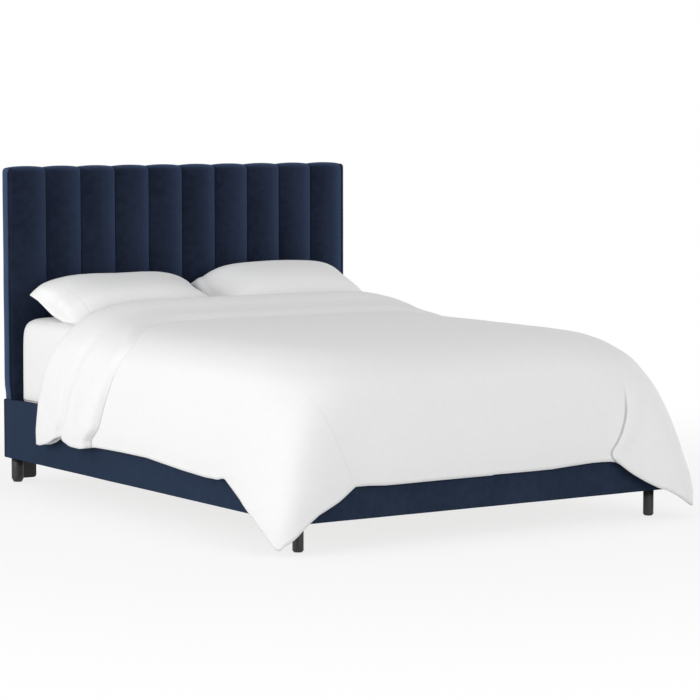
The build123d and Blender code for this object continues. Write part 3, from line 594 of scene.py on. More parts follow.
def turned_out(shape: Shape, inside: Vector) -> None:
    """Make the faces of an open cloth face away from a point.

    Args:
        shape: The bmesh.
        inside: A point behind the cloth.
    """
    bmesh.ops.recalc_face_normals(shape, faces=shape.faces)
    shape.normal_update()
    facing = sum((f.calc_center_median() - inside).dot(f.normal) * f.calc_area() for f in shape.faces)
    if facing < 0.0:
        bmesh.ops.reverse_faces(shape, faces=shape.faces)


def thickened(made: Piece, thickness: float, offset: float) -> None:
    """Give a sheet its thickness in metres, behind its surface at an offset of -1 and on both sides at 0."""
    solid = made.modifiers.new("thickness", "SOLIDIFY")
    solid.thickness, solid.offset = thickness, offset


def refined(made: Piece, levels: int = 1) -> None:
    """Smooth a piece with a subdivision surface."""
    smooth = made.modifiers.new("smooth", "SUBSURF")
    smooth.levels = smooth.render_levels = levels


def seated(made: Piece, body: Body, slot: Slot, finish: Finish, stands_for: str) -> None:
    """Dress a new piece and hang it on its body.

    Args:
        made: The piece.
        body: What it rides on.
        slot: The record's material slot of the piece; not used.
        finish: Its finish.
        stands_for: The CAD node that it replaces.
    """
    made.data.materials.clear()
    made.data.materials.append(finish.material())
    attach(made, body.value)
    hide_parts(stands_for)
    LOG.info("%s: %d points, rides on %s", made.name, len(made.data.vertices), body.value)


@dataclass(frozen=True)
class Settling:
    """How a filled case swells and wrinkles in a short run of cloth simulation."""

    frames: int = 16
    quality: int = 5
    mass: float = 0.3
    pressure: float = 3.0
    growth: float = 0.035
    stretching: float = 15.0
    shearing: float = 5.0
    bending: float = 0.25
    outward: float = 0.008
    inward: float = 0.012

    def run(self, made: Piece) -> None:
        """Simulate a piece and keep the result in its mesh.

        Args:
            made: The piece, a plain mesh.
        """
        rest = self._points(made.data)
        normals = np.array([v.normal for v in made.data.vertices])
        cloth = made.modifiers.new("settle", "CLOTH")
        rules = cloth.settings
        rules.quality, rules.mass = self.quality, self.mass
        rules.tension_stiffness = rules.compression_stiffness = self.stretching
        rules.shear_stiffness, rules.bending_stiffness = self.shearing, self.bending
        rules.use_pressure, rules.uniform_pressure_force = True, self.pressure
        rules.shrink_min = -self.growth
        rules.effector_weights.gravity = 0.0
        cloth.collision_settings.use_collision = False
        scene = bpy.context.scene
        cloth.point_cache.frame_start, cloth.point_cache.frame_end = 1, self.frames
        for number in range(1, self.frames + 1):
            scene.frame_set(number)
        moved = self._points(made.evaluated_get(bpy.context.evaluated_depsgraph_get()).data)
        made.modifiers.remove(cloth)
        scene.frame_set(1)
        step = moved - rest
        off = (step * normals).sum(1)
        slide = step - off[:, None] * normals
        reach = np.linalg.norm(slide, axis=1)
        slide *= np.minimum(1.0, self.outward / np.maximum(reach, 1e-9))[:, None]
        kept = rest + slide + np.clip(off, -self.inward, self.outward)[:, None] * normals
        made.data.vertices.foreach_set("co", kept.astype(np.float32).ravel())
        made.data.update()
        LOG.info("%s settled: moved %.1f mm at most", made.name, 1000.0 * np.abs(off).max())

    @staticmethod
    def _points(mesh: bpy.types.Mesh) -> np.ndarray:
        """The points of a mesh, one row each."""
        return np.array([v.co for v in mesh.vertices], float)


@dataclass(frozen=True)
class Plan:
    """Where the bed stands: distances towards the foot run from the headboard's seams."""

    seam: float
    sheet_top: float

    @classmethod
    def read(cls) -> "Plan":
        """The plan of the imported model."""
        return cls(seam=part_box("headboard_border_left")[0].y, sheet_top=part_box("fitted_sheet")[1].z)

    def at(self, distance: float) -> float:
        """Y of a point this far in front of the headboard's seams."""
        return self.seam - distance


@dataclass(frozen=True)
class Headboard:
    """Ten padded channels that roll over the top, between two bound edges."""

    plan: Plan
    finishes: Finishes
    count: int = 10
    columns: int = 20
    front_rows: int = 42
    roll_rows: int = 8
    crown: float = 0.0178
    top_crown: float = 0.0055
    proud: float = 0.0058
    tuck: float = 0.007
    pad: float = 0.014
    cloth: float = 0.006
    roll: float = 0.022
    back: float = 0.0486
    back_lap: float = 0.0225
    overlap: float = 0.0002
    crowding: float = 1.55
    fullness: float = 2.2
    ripple: float = 0.0006
    ripple_width: float = 0.16
    ripple_length: float = 0.035
    lump: float = 0.0007
    lump_size: float = 0.11
    edge_rows: int = 40
    edge_round: float = 0.0055
    edge_lump: float = 0.12
    corner: float = 0.024
    above_rails: tuple[float, float] = (0.34, 0.40)

    @property
    def edge(self) -> tuple[Vector, Vector]:
        """The box of the right bound edge, which the headboard is measured by."""
        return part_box("headboard_border_right")

    @property
    def top(self) -> float:
        """The height of the velvet's top at the seams."""
        return self.edge[1].z + self.proud

    def build(self) -> None:
        """Make the channels and the bound edges."""
        for place in range(self.count):
            self._channel(place)
        for side in Side:
            self._edge(side)

    def _cornered(self, point: Vector) -> Vector:
        """Draw a point in to the round of the headboard's top corners.

        Args:
            point: A point of the upholstery.

        Returns:
            The same point, or where it lies on the round.
        """
        centre_x, centre_z = self.edge[1].x + self.proud - self.corner, self.top + 0.001 - self.corner
        away_x, away_z = abs(point.x) - centre_x, point.z - centre_z
        reach = math.hypot(away_x, away_z)
        if away_x <= 0.0 or away_z <= 0.0 or reach <= self.corner:
            return point
        inside = centre_x + away_x * self.corner / reach
        return Vector((math.copysign(inside, point.x), point.y, centre_z + away_z * self.corner / reach))

    def _path(self, low: float) -> list[tuple[float, float, float, float, float]]:
        """The line that the velvet takes along a seam, from its lower end over the top to the back.

        Args:
            low: The channel's lower end.

        Returns:
            Distance in front, height, the outward direction in those two, and the crown there.
        """
        front, over, high = self.crown, self.top_crown, self.top
        start, end = low + 0.012, high - self.roll
        line = [
            (-self.pad, low, 0.0, -1.0, 0.0),
            (-0.004, low, 0.0, -1.0, 0.0),
            (-0.001, low + 0.001, 0.7, -0.7, 0.35 * front),
            (0.0, low + 0.005, 1.0, -0.1, 0.9 * front),
        ]
        for row in range(self.front_rows + 1):
            line.append((0.0, start + (end - start) * row / self.front_rows, 1.0, 0.0, front))
        for row in range(1, self.roll_rows + 1):
            share = row / self.roll_rows
            turn = math.radians(90.0 * share)
            away, height = self.roll * (math.cos(turn) - 1.0), end + self.roll * math.sin(turn)
            crown = front + (over - front) * eased(share, 0.0, 1.0)
            line.append((away, height, math.cos(turn), math.sin(turn), crown))
        return line + [
            (-0.034, high, 0.0, 1.0, over),
            (-0.042, high, -0.1, 1.0, 0.9 * over),
            (-self.back + 0.002, high - 0.001, -0.6, 0.8, 0.5 * over),
            (-self.back, high - 0.006, -1.0, 0.2, 0.0006),
            (-self.back, high - 0.016, -1.0, 0.0, 0.0006),
            (-self.back, high - self.back_lap, -1.0, 0.0, 0.0),
        ]

    def _channel(self, place: int) -> None:
        """Make one channel in the place of its CAD node.

        Args:
            place: Its number from the left, from 0.
        """
        node = f"headboard_channel_{place + 1:02d}"
        low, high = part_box(node)
        half = self.edge[0].x / self.count + self.overlap
        middle = (low.x + high.x) / 2.0
        path = self._path(low.z)
        last = len(path) - 1

        def surface(across: float, along: float) -> Vector:
            """The velvet's point.

            Args:
                across: Its share of the way from the left seam to the right one.
                along: Its share of the path's points.

            Returns:
                The point.
            """
            run = 2.0 * across - 1.0
            share = crowded(run, self.crowding)
            away, height, out, up, crown = path[round(along * last)]
            full = 1.0 - abs(share) ** self.fullness
            rise = crown * full if abs(run) < 0.999 else -self.tuck * min(1.0, crown / self.crown)
            x = middle + share * half
            if crown > 0.9 * self.crown:
                seam = Vector((place * 3.0 + math.copysign(1.0, share), 0.0, height))
                near_seam = bell(1.0 - abs(share), self.ripple_width)
                rise += self.ripple * near_seam * lumps(seam, self.ripple_length)
                rise += self.lump * full * lumps(Vector((x, 0.0, height * 0.6)), self.lump_size, 3.0)
            return self._cornered(Vector((x, self.plan.at(away + out * rise), height + up * rise)))

        shape = cloth_grid(self.columns, last, surface)
        turned_out(shape, Vector((middle, self.plan.at(-0.03), 0.7)))
        made = to_object(shape, f"velvet_channel_{place + 1:02d}")
        thickened(made, self.cloth, -1.0)
        refined(made)
        seated(made, Body.FRAME, Slot.NAVY_VELVET, self.finishes.velvet, node)

    def _edge(self, side: Side) -> None:
        """Make the bound edge on one side of the headboard.

        Args:
            side: Which side.
        """
        node = f"headboard_border_{side.word}"
        low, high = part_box(node)
        high.z = self.top
        shape = boxed(low, high)
        outer = high.x if side is Side.RIGHT else low.x
        rim = [e for e in shape.edges if all(abs(v.co.x - outer) < TOUCH for v in e.verts)]
        rounded(shape, rim, self.edge_round)
        sliced(shape, 2, steps_between(low.z, high.z, self.edge_rows))
        sliced(shape, 2, [high.z - 0.003 * step for step in range(1, 10)])
        for vert in shape.verts:
            if abs(vert.co.x - outer) < 0.004:
                stand = self.proud * eased(vert.co.z, *self.above_rails)
                vert.co.x += side.value * (stand + self.ripple * lumps(vert.co, self.edge_lump))
            vert.co = self._cornered(vert.co)
        self._turn_over(shape, side)
        made = to_object(shape, f"velvet_edge_{side.word}")
        seated(made, Body.FRAME, Slot.NAVY_VELVET, self.finishes.velvet, node)

    def _turn_over(self, shape: Shape, side: Side) -> None:
        """Add the strips of velvet that are stapled to the back, up to the dust cover.

        Args:
            shape: The bound edge's bmesh.
            side: Which side.
        """
        cover, edge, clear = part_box("headboard_dust_cover"), self.edge, 0.0002
        near, far = cover[0].y, cover[1].y - clear
        inner, outer = cover[1].x + clear, edge[0].x + 0.0005
        bottom, top = edge[0].z + clear, cover[0].z - clear
        upright = Vector((inner, near, bottom)), Vector((outer, far, edge[1].z - 0.02))
        level = Vector((0.0, near, bottom)), Vector((inner, far, top))
        for low, high in (upright, level):
            x, y, z = (low + high) / 2.0
            place = Matrix.Translation((side.value * x, y, z)) @ Matrix.Diagonal((*(high - low), 1.0))
            bmesh.ops.create_cube(shape, size=1.0, matrix=place)


@dataclass(frozen=True)
class RailCovers:
    """Velvet that wraps the side and foot boards and laps inside at the top."""

    finishes: Finishes
    edge_round: float = 0.006
    corner_round: float = 0.014
    cloth: float = 0.0024
    lap: float = 0.025
    tongue: float = 0.0071
    lump: float = 0.0005
    lump_size: float = 0.16
    side_columns: int = 48
    foot_columns: int = 36

    def build(self) -> None:
        """Make the two side covers and the foot cover."""
        for side in Side:
            self._side(side)
        self._foot()

    def _levels(self, low: Vector, high: Vector) -> list[float]:
        """The heights at which a cover is cut so that it can follow its board."""
        return [low.z + 0.012, *np.linspace(low.z + 0.03, high.z - self.lap, 7), high.z - 0.012]

    def _finish(self, shape: Shape, open_faces: list[bmesh.types.BMFace], name: str, node: str) -> None:
        """Open a cover towards its board and dress it.

        Args:
            shape: Its bmesh.
            open_faces: The faces that lie on the board.
            name: The piece's name.
            node: The CAD node that it replaces.
        """
        bmesh.ops.delete(shape, geom=open_faces, context="FACES")
        for vert in shape.verts:
            vert.co += vert.normal * self.lump * lumps(vert.co, self.lump_size, 5.0)
        made = to_object(shape, name)
        thickened(made, self.cloth, -1.0)
        # the rails take the lighter copy of the velvet, a painted lit look
        seated(made, Body.FRAME, Slot.NAVY_VELVET, self.finishes.rail_velvet, node)

    def _side(self, side: Side) -> None:
        """Make the cover of one side rail, with the tongue that runs on beside the headboard.

        Args:
            side: Which side.
        """
        node = f"side_rail_cover_{side.word}"
        low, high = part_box(node)
        board_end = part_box(f"side_rail_{side.word}")[1].y
        shape = boxed(low, high)
        outer, inner = (high.x, low.x) if side is Side.RIGHT else (low.x, high.x)
        rim = [e for e in shape.edges if abs(e.verts[0].co.x - outer) < TOUCH]
        rounded(shape, [e for e in rim if abs(e.verts[0].co.y - e.verts[1].co.y) > 1.0], self.edge_round)
        sliced(shape, 0, [outer - side.value * self.tongue])
        sliced(shape, 1, [board_end, *np.linspace(low.y, board_end, self.side_columns + 1)[1:-1]])
        sliced(shape, 2, self._levels(low, high))
        open_faces = []
        for face in shape.faces:
            x, y, z = face.calc_center_median()
            in_headboard = y > board_end + TOUCH and abs(x - outer) > self.tongue
            on_board = abs(x - inner) < 10 * TOUCH and z < high.z - self.lap
            if in_headboard or on_board or face.normal.y < -0.9:
                open_faces.append(face)
        self._finish(shape, open_faces, f"velvet_rail_{side.word}", node)

    def _foot(self) -> None:
        """Make the cover of the foot rail, which turns round both corners."""
        node = "foot_rail_cover"
        low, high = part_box(node)
        shape = boxed(low, high)
        front = [e for e in shape.edges if all(abs(v.co.y - low.y) < TOUCH for v in e.verts)]
        upright = [e for e in front if abs(e.verts[0].co.z - e.verts[1].co.z) > 0.1]
        rounded(shape, upright, self.corner_round, 7)
        level = [
            e
            for e in shape.edges
            if abs(e.verts[0].co.z - e.verts[1].co.z) < 1e-6
            and any(abs(e.verts[0].co.z - z) < TOUCH for z in (low.z, high.z))
            and max(v.co.y for v in e.verts) < high.y - 10 * TOUCH
        ]
        rounded(shape, level, self.edge_round * 0.8, 4)
        sliced(shape, 0, steps_between(low.x, high.x, self.foot_columns))
        sliced(shape, 2, self._levels(low, high))
        inside = [f for f in shape.faces if f.normal.y > 0.9]
        open_faces = [f for f in inside if f.calc_center_median().z < high.z - self.lap]
        self._finish(shape, open_faces, "velvet_rail_foot", node)


@dataclass(frozen=True)
class Legs:
    """Round lacquered legs, with drawn-in bottoms at the rear."""

    finishes: Finishes
    top: float = 0.0985
    glide: float = 0.003
    soft: float = 0.0012
    facets: int = 56
    front_chamfer: tuple[float, float] = (0.0018, 0.0018)
    rear_chamfer: tuple[float, float] = (0.0055, 0.011)

    def build(self) -> None:
        """Turn the four legs in the places of their CAD nodes."""
        for side in Side:
            for pair, chamfer in (("front", self.front_chamfer), ("rear", self.rear_chamfer)):
                node = f"{pair}_leg_{side.word}"
                low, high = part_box(node)
                centre = Vector(((low.x + high.x) / 2.0, (low.y + high.y) / 2.0, 0.0))
                line = self._line((high.x - low.x) / 2.0, *chamfer)
                made = to_object(self._turned(line, centre), f"lacquered_leg_{pair}_{side.word}")
                seated(made, Body.FRAME, Slot.BLACK_LACQUER, self.finishes.lacquer, node)

    def _line(self, radius: float, chamfer: float, rise: float) -> Points:
        """The line that a leg is turned from.

        Args:
            radius: The leg's radius.
            chamfer: How far its bottom is drawn in.
            rise: How high the drawn-in part is.

        Returns:
            Radius and height of each point.
        """
        return (
            (0.0, self.glide),
            (radius - chamfer - self.soft, self.glide),
            (radius - chamfer, self.glide + self.soft * 0.5),
            (radius - self.soft * 0.3, self.glide + rise - self.soft * 0.5),
            (radius, self.glide + rise + self.soft),
            (radius, 0.03),
            (radius, 0.06),
            (radius, self.top),
            (0.0, self.top),
        )

    def _turned(self, line: Points, centre: Vector) -> Shape:
        """Turn a line of radius and height about an upright axis.

        Args:
            line: Radius and height of each point.
            centre: A point on the axis.

        Returns:
            The closed bmesh.
        """
        shape = bmesh.new()
        verts = [shape.verts.new(centre + Vector((radius, 0.0, height))) for radius, height in line]
        edges = [shape.edges.new(pair) for pair in zip(verts, verts[1:])]
        round_axis = {"cent": centre, "axis": (0.0, 0.0, 1.0), "angle": 2.0 * math.pi, "steps": self.facets}
        bmesh.ops.spin(shape, geom=[*verts, *edges], use_merge=True, **round_axis)
        bmesh.ops.remove_doubles(shape, verts=shape.verts, dist=TOUCH)
        bmesh.ops.recalc_face_normals(shape, faces=shape.faces)
        return shape


@dataclass(frozen=True)
class Curve:
    """A line through some points, straight between them."""

    points: Points

    def at(self, place: float) -> float:
        """The line's height at a place."""
        return float(np.interp(place, *np.transpose(self.points)))


@dataclass(frozen=True)
class Profile:
    """A line from a flat top over its edge and down: how far out and how far down at each length of cloth."""

    out: np.ndarray
    drop: np.ndarray
    length: np.ndarray
    slope_step: float = 0.012

    @classmethod
    def through(cls, points: Points, rounds: int) -> "Profile":
        """A smooth profile near some points.

        Args:
            points: Out and drop of each point, in metres, from the flat top downwards.
            rounds: How often the corners between them are cut.

        Returns:
            The profile.
        """
        line = np.array(points, float)
        for _ in range(rounds):
            first, second = line[:-1], line[1:]
            cut = np.stack([0.75 * first + 0.25 * second, 0.25 * first + 0.75 * second], 1).reshape(-1, 2)
            line = np.concatenate([line[:1], cut, line[-1:]])
        steps = np.linalg.norm(np.diff(line, axis=0), axis=1)
        return cls(line[:, 0], line[:, 1], np.concatenate([[0.0], np.cumsum(steps)]))

    def reach(self, drop: float) -> float:
        """The length of cloth that hangs down this far."""
        return float(np.interp(drop, self.drop, self.length))

    def place(self, length: float) -> tuple[float, float]:
        """How far out and how far down a length of cloth ends."""
        return tuple(float(np.interp(length, self.length, values)) for values in (self.out, self.drop))

    def point(self, length: float) -> tuple[float, float, float, float]:
        """A point on the profile.

        Args:
            length: The length of cloth from the flat top.

        Returns:
            How far out, how far down, and the outward and upward parts of the surface's direction.
        """
        near = self.place(max(length - self.slope_step, 0.0))
        far = self.place(min(length + self.slope_step, float(self.length[-1])))
        run, fall = far[0] - near[0], far[1] - near[1]
        size = math.hypot(run, fall) or 1.0
        return *self.place(length), fall / size, run / size


def ring(radius: float, turn: float, squareness: float) -> tuple[float, float, float, float]:
    """A point on a rounded corner.

    Args:
        radius: How far the straight sides are from the corner's middle.
        turn: The point's direction in radians, from the side towards the foot.
        squareness: 2 for a round corner, more for a squarer one.

    Returns:
        The point, and the outward direction there, both to the side and to the foot.
    """
    cos, sin = max(math.cos(turn), 0.0), max(math.sin(turn), 0.0)
    away = radius * (cos**squareness + sin**squareness) ** (-1.0 / squareness)
    facing = Vector((cos ** (squareness - 1.0), sin ** (squareness - 1.0))).normalized()
    return away * cos, away * sin, facing.x, facing.y


@dataclass(frozen=True)
class Mattress:
    """A deep mattress in its fitted sheet, firm at the head and softly domed under the duvet."""

    plan: Plan
    finishes: Finishes
    half: float = 0.757
    head: float = 0.022
    foot: float = 2.044
    bottom: float = 0.3052
    bottom_round: float = 0.004
    bottom_share: tuple[float, float] = (0.975, 0.98)
    inset: float = 0.507
    head_squareness: float = 22.0
    firm_head: tuple[float, float] = (0.40, 0.50)
    sheet_hem: float = 0.333
    sheet_fall: float = 0.32
    sheet_thickness: float = 0.0011
    sheet_stand: float = 0.0014
    foot_squareness: Curve = Curve(
        ((0.0, 2.44), (0.005, 2.47), (0.014, 2.44), (0.028, 2.53), (0.05, 2.86), (0.085, 3.98), (0.15, 11.0))
    )
    domed_edge: Points = (
        (0.0, 0.0), (0.17, 0.0), (0.287, 0.005), (0.367, 0.014), (0.417, 0.028), (0.461, 0.050),
        (0.495, 0.085), (0.507, 0.150), (0.507, 0.22),
    )
    firm_edge: Points = (
        (0.0, 0.0), (0.17, 0.0), (0.34, 0.0), (0.44, 0.001), (0.475, 0.007), (0.497, 0.022),
        (0.505, 0.050), (0.507, 0.100), (0.507, 0.20),
    )

    def build(self) -> BVHTree:
        """Make the mattress and the sheet over it.

        Returns:
            The sheet's surface, for what lies on it.
        """
        core = self._slab(0.0, self.bottom + self.bottom_round, 46, 64, 0.0)
        inner = bmesh.ops.extrude_edge_only(core, edges=[e for e in core.edges if e.is_boundary])["geom"]
        middle = self.plan.at((self.head + self.foot) / 2.0)
        share_x, share_y = self.bottom_share
        for vert in (v for v in inner if isinstance(v, bmesh.types.BMVert)):
            vert.co = Vector((vert.co.x * share_x, middle + (vert.co.y - middle) * share_y, self.bottom))
        loop = [e for e in inner if isinstance(e, bmesh.types.BMEdge) and e.is_boundary]
        bmesh.ops.holes_fill(core, edges=loop, sides=0)
        bmesh.ops.triangulate(core, faces=[f for f in core.faces if len(f.verts) > 4])
        bmesh.ops.recalc_face_normals(core, faces=core.faces)
        made = to_object(core, "quilted_mattress")
        seated(made, Body.MATTRESS, Slot.TICKING, self.finishes.ticking, "mattress")

        sheet = self._slab(self.sheet_stand, self.sheet_hem, 84, 108, self.sheet_thickness)
        bed = BVHTree.FromBMesh(sheet)
        made = to_object(sheet, "cotton_fitted_sheet")
        thickened(made, self.sheet_thickness, 0.0)
        refined(made)
        seated(made, Body.MATTRESS, Slot.WHITE_COTTON, self.finishes.sheet_linen, "fitted_sheet")
        return bed

    def _slab(self, grow: float, hem: float, across: int, along: int, crease: float) -> Shape:
        """The mattress's top and four sides as one cloth.

        Args:
            grow: How far outside the mattress it lies.
            hem: The height of its lower edge.
            across: Quads over its width.
            along: Quads over its length.
            crease: How deep its wrinkles are.

        Returns:
            The bmesh, open below.
        """
        top = self.plan.sheet_top - 0.002 + grow
        wider = 1.0 + grow / self.inset
        profile, at_head = (
            Profile.through([(out * wider, drop) for out, drop in (*edge, (self.inset, top - hem))], 2)
            for edge in (self.domed_edge, self.firm_edge)
        )
        flat_x = self.half - self.inset
        flat_low, flat_high = self.head + self.inset, self.foot - self.inset
        half_long, middle = (flat_high - flat_low) / 2.0, (flat_low + flat_high) / 2.0
        hang = float(profile.length[-1])

        def surface(u: float, v: float) -> Vector:
            """The cloth's point.

            Args:
                u: Its share of the width.
                v: Its share of the length, from the head.

            Returns:
                The point.
            """
            run_x, run_y = (2.0 * u - 1.0) * (flat_x + hang), (2.0 * v - 1.0) * (half_long + hang)
            over_x, over_y = max(0.0, abs(run_x) - flat_x) / hang, max(0.0, abs(run_y) - half_long) / hang
            side, end = math.copysign(1.0, run_x), math.copysign(1.0, run_y)
            out, drop, level, _ = profile.point(max(over_x, over_y) * hang)
            squareness = self.foot_squareness.at(drop) if end > 0.0 else self.head_squareness
            turn = math.atan2(over_y, over_x)
            x, d, face_x, face_d = ring(out, turn, squareness)
            start = middle + end * min(abs(run_y), half_long)
            full = 1.0 - eased(start + end * d, *self.firm_head)
            if full > 0.0:
                out, low = at_head.place(max(over_x, over_y) * float(at_head.length[-1]))
                firm_x, firm_d, _, _ = ring(out, turn, squareness)
                x, d, drop = x + full * (firm_x - x), d + full * (firm_d - d), drop + full * (low - drop)
            spot = Vector((side * (min(abs(run_x), flat_x) + x), self.plan.at(start + end * d), top - drop))
            if crease:
                folds = lumps(Vector((spot.x, spot.y, spot.z * 0.35)), 0.085, 2.0)
                wave = lumps(Vector((spot.x, spot.y, spot.z * 0.3)), 0.25, 8.0)
                deep = crease * level * (0.5 * folds + 0.8 * wave) * eased(drop, 0.02, 0.12)
                spot += deep * Vector((side * face_x, -end * face_d, 0.0))
            return spot

        shape = cloth_grid(across, along, surface)
        turned_out(shape, Vector((0.0, self.plan.at(middle), top - 0.2)))
        return shape


@dataclass(frozen=True)
class Pillow:
    """A filled pillow in its case, resting on the sheet and leaning a little back."""

    plan: Plan
    finishes: Finishes
    bed: BVHTree
    side: Side
    rise: float = 0.0705
    sink: float = 0.046
    tilt: float = 10.0
    lift: float = 0.0668
    skew: float = 0.2
    droop: float = 0.022
    slump: float = 0.048
    half_length: float = 0.366
    half_depth: float = 0.214
    waist: tuple[float, float] = (0.010, 0.014)
    corner_pull: tuple[float, float] = (0.014, 0.009)
    crowding: float = 1.25
    sewn_rise: float = 0.064
    front: float = 0.030
    apart: float = 0.0075
    clear: float = 0.0014
    lump: float = 0.005
    lump_size: float = 0.22
    front_fall: float = 0.024
    back_lift: float = 0.010

    def build(self) -> None:
        """Sew the case, fill it and lay it down."""
        shape = cloth_grid(64, 40, self._half)
        everything = [*shape.verts, *shape.edges, *shape.faces]
        bmesh.ops.mirror(shape, geom=everything, merge_dist=TOUCH, axis="Z")
        bmesh.ops.remove_doubles(shape, verts=shape.verts, dist=TOUCH)
        bmesh.ops.recalc_face_normals(shape, faces=shape.faces)
        made = to_object(shape, f"linen_pillow_{self.side.word}")
        Settling().run(made)
        self._mark_hem(made)
        self._lay(made)
        refined(made)
        body = Body.PILLOW_LEFT if self.side is Side.LEFT else Body.PILLOW_RIGHT
        # the pillows take the lighter copy of the linen, a painted lit look
        seated(made, body, Slot.WHITE_COTTON, self.finishes.pillow_linen, body.value)

    def _half(self, u: float, v: float) -> Vector:
        """The upper half of the pillow before it is laid down.

        Args:
            u: Share of its length.
            v: Share of its depth.

        Returns:
            A point about the pillow's own middle.
        """
        a, b = crowded(2.0 * u - 1.0, self.crowding), crowded(2.0 * v - 1.0, self.crowding)
        x = a * (self.half_length - self.waist[0] * (1.0 - b * b))
        y = b * (self.half_depth - self.waist[1] * (1.0 - a * a))
        x -= self.corner_pull[0] * math.copysign(abs(a) ** 3 * abs(b) ** 5, a)
        y -= self.corner_pull[1] * math.copysign(abs(b) ** 3 * abs(a) ** 5, b)
        fuller = b - self.skew * (1.0 - b * b)
        full = (max(0.0, 1.0 - abs(a) ** 4.6) * max(0.0, 1.0 - abs(fuller) ** 2.8)) ** 0.54
        return Vector((x, y, self.sewn_rise * full))

    def _mark_hem(self, made: Piece) -> None:
        """Note each point's distance from the case's open end, for the stitched hem."""
        values = [self.half_length - self.side.value * v.co.x for v in made.data.vertices]
        made.data.attributes.new("from_hem", "FLOAT", "POINT").data.foreach_set("value", values)

    def _lay(self, made: Piece) -> None:
        """Give the pillow its uneven fullness and put it on the sheet.

        Args:
            made: The pillow about its own middle.
        """
        middle_x = self.side.value * (self.half_length + self.apart)
        middle_y = self.plan.at(self.front + self.half_depth)
        place = Matrix.Translation((middle_x, middle_y, self.plan.sheet_top + self.lift))
        place = place @ Matrix.Rotation(math.radians(self.tilt), 4, "X")
        for vert in made.data.vertices:
            point = vert.co.copy()
            a, b = point.x / self.half_length, point.y / self.half_depth
            below = self.sink * (1.0 - 0.8 * eased(abs(a), 0.5, 1.0))
            point.z *= (self.rise if point.z > 0.0 else below) / self.sewn_rise
            flat = Vector((point.x, point.y, 0.0))
            point.z += self.lump * lumps(flat, self.lump_size, self.side.value * 4.0)
            point.z -= self.front_fall * eased(-b, 0.35, 1.0) + self.droop * abs(a) ** 4
            point.z -= self.slump * abs(a) ** 3 * eased(-b, -0.85, 0.15)
            point.z += self.back_lift * eased(b, 0.2, 1.0) * (1.0 - min(a * a, 1.0))
            laid = place @ point
            under = self.bed.ray_cast(laid + Vector((0.0, 0.0, 1.0)), Vector((0.0, 0.0, -1.0)))[0]
            if under is not None and laid.z < under.z + self.clear:
                laid.z = under.z + self.clear + 0.0002 * (1.0 + lumps(laid, 0.05))
            vert.co = laid
        made.data.update()


class Stage(Enum):
    """The parts of the duvet from its hidden edge under the fold to its foot hem, and their rows."""

    UNDER = 7
    ROLL = 8
    BAND = 34
    BODY = 50
    FOOT = 66


@dataclass(frozen=True)
class DuvetSide:
    """One side of the duvet: its corner's hem and tip, and the fold where its flap meets the foot panel.

    The hem is a height by the direction in degrees, and the fold is a distance from the middle by the height.
    """

    hem: Curve
    tip: tuple[float, float]
    flap_start: float
    flap_end: float
    fold: Curve
    fold_top: float
    fold_depth: float


DUVET_SIDES = {
    Side.LEFT: DuvetSide(
        hem=Curve(
            (
                (0, 0.199), (8, 0.201), (11, 0.209), (14, 0.210), (20, 0.186), (26, 0.160), (29, 0.142),
                (32, 0.125), (35, 0.106), (37, 0.091), (39, 0.073), (41, 0.051), (43, 0.023), (44, 0.018),
                (45, 0.031), (46, 0.040), (47, 0.050), (48, 0.065), (50, 0.102), (52, 0.132), (56, 0.168),
                (58, 0.191), (60, 0.213), (64, 0.213), (70, 0.209), (90, 0.210),
            )
        ),
        tip=(0.0765, 0.0275),
        flap_start=0.0,
        flap_end=62.0,
        fold=Curve(((0.211, 0.604), (0.222, 0.594), (0.233, 0.588), (0.549, 0.723))),
        fold_top=0.549,
        fold_depth=0.08,
    ),
    Side.RIGHT: DuvetSide(
        hem=Curve(
            (
                (0, 0.199), (8, 0.201), (11, 0.209), (14, 0.203), (26, 0.153), (32, 0.123), (35, 0.106),
                (39, 0.080), (42, 0.057), (45, 0.040), (46, 0.044), (47, 0.049), (48, 0.058), (52, 0.102),
                (54, 0.116), (56, 0.137), (60, 0.183), (62, 0.208), (63, 0.218), (64, 0.220), (68, 0.222),
                (72, 0.222), (90, 0.212),
            )
        ),
        tip=(0.089, 0.0755),
        flap_start=24.0,
        flap_end=66.0,
        fold=Curve(
            (
                (0.211, 0.546), (0.227, 0.526), (0.243, 0.515), (0.263, 0.521), (0.286, 0.540),
                (0.320, 0.559), (0.359, 0.574), (0.399, 0.584), (0.439, 0.588), (0.484, 0.589),
                (0.529, 0.582), (0.580, 0.563),
            )
        ),
        fold_top=0.490,
        fold_depth=1.0,
    ),
}


@dataclass(frozen=True)
class DuvetPoint:
    """A point of the duvet, how far it is from the nearest fold line and how deep that fold is there, which
    also sets how dark its painted shade is.
    """

    spot: Vector
    line: float
    depth: float


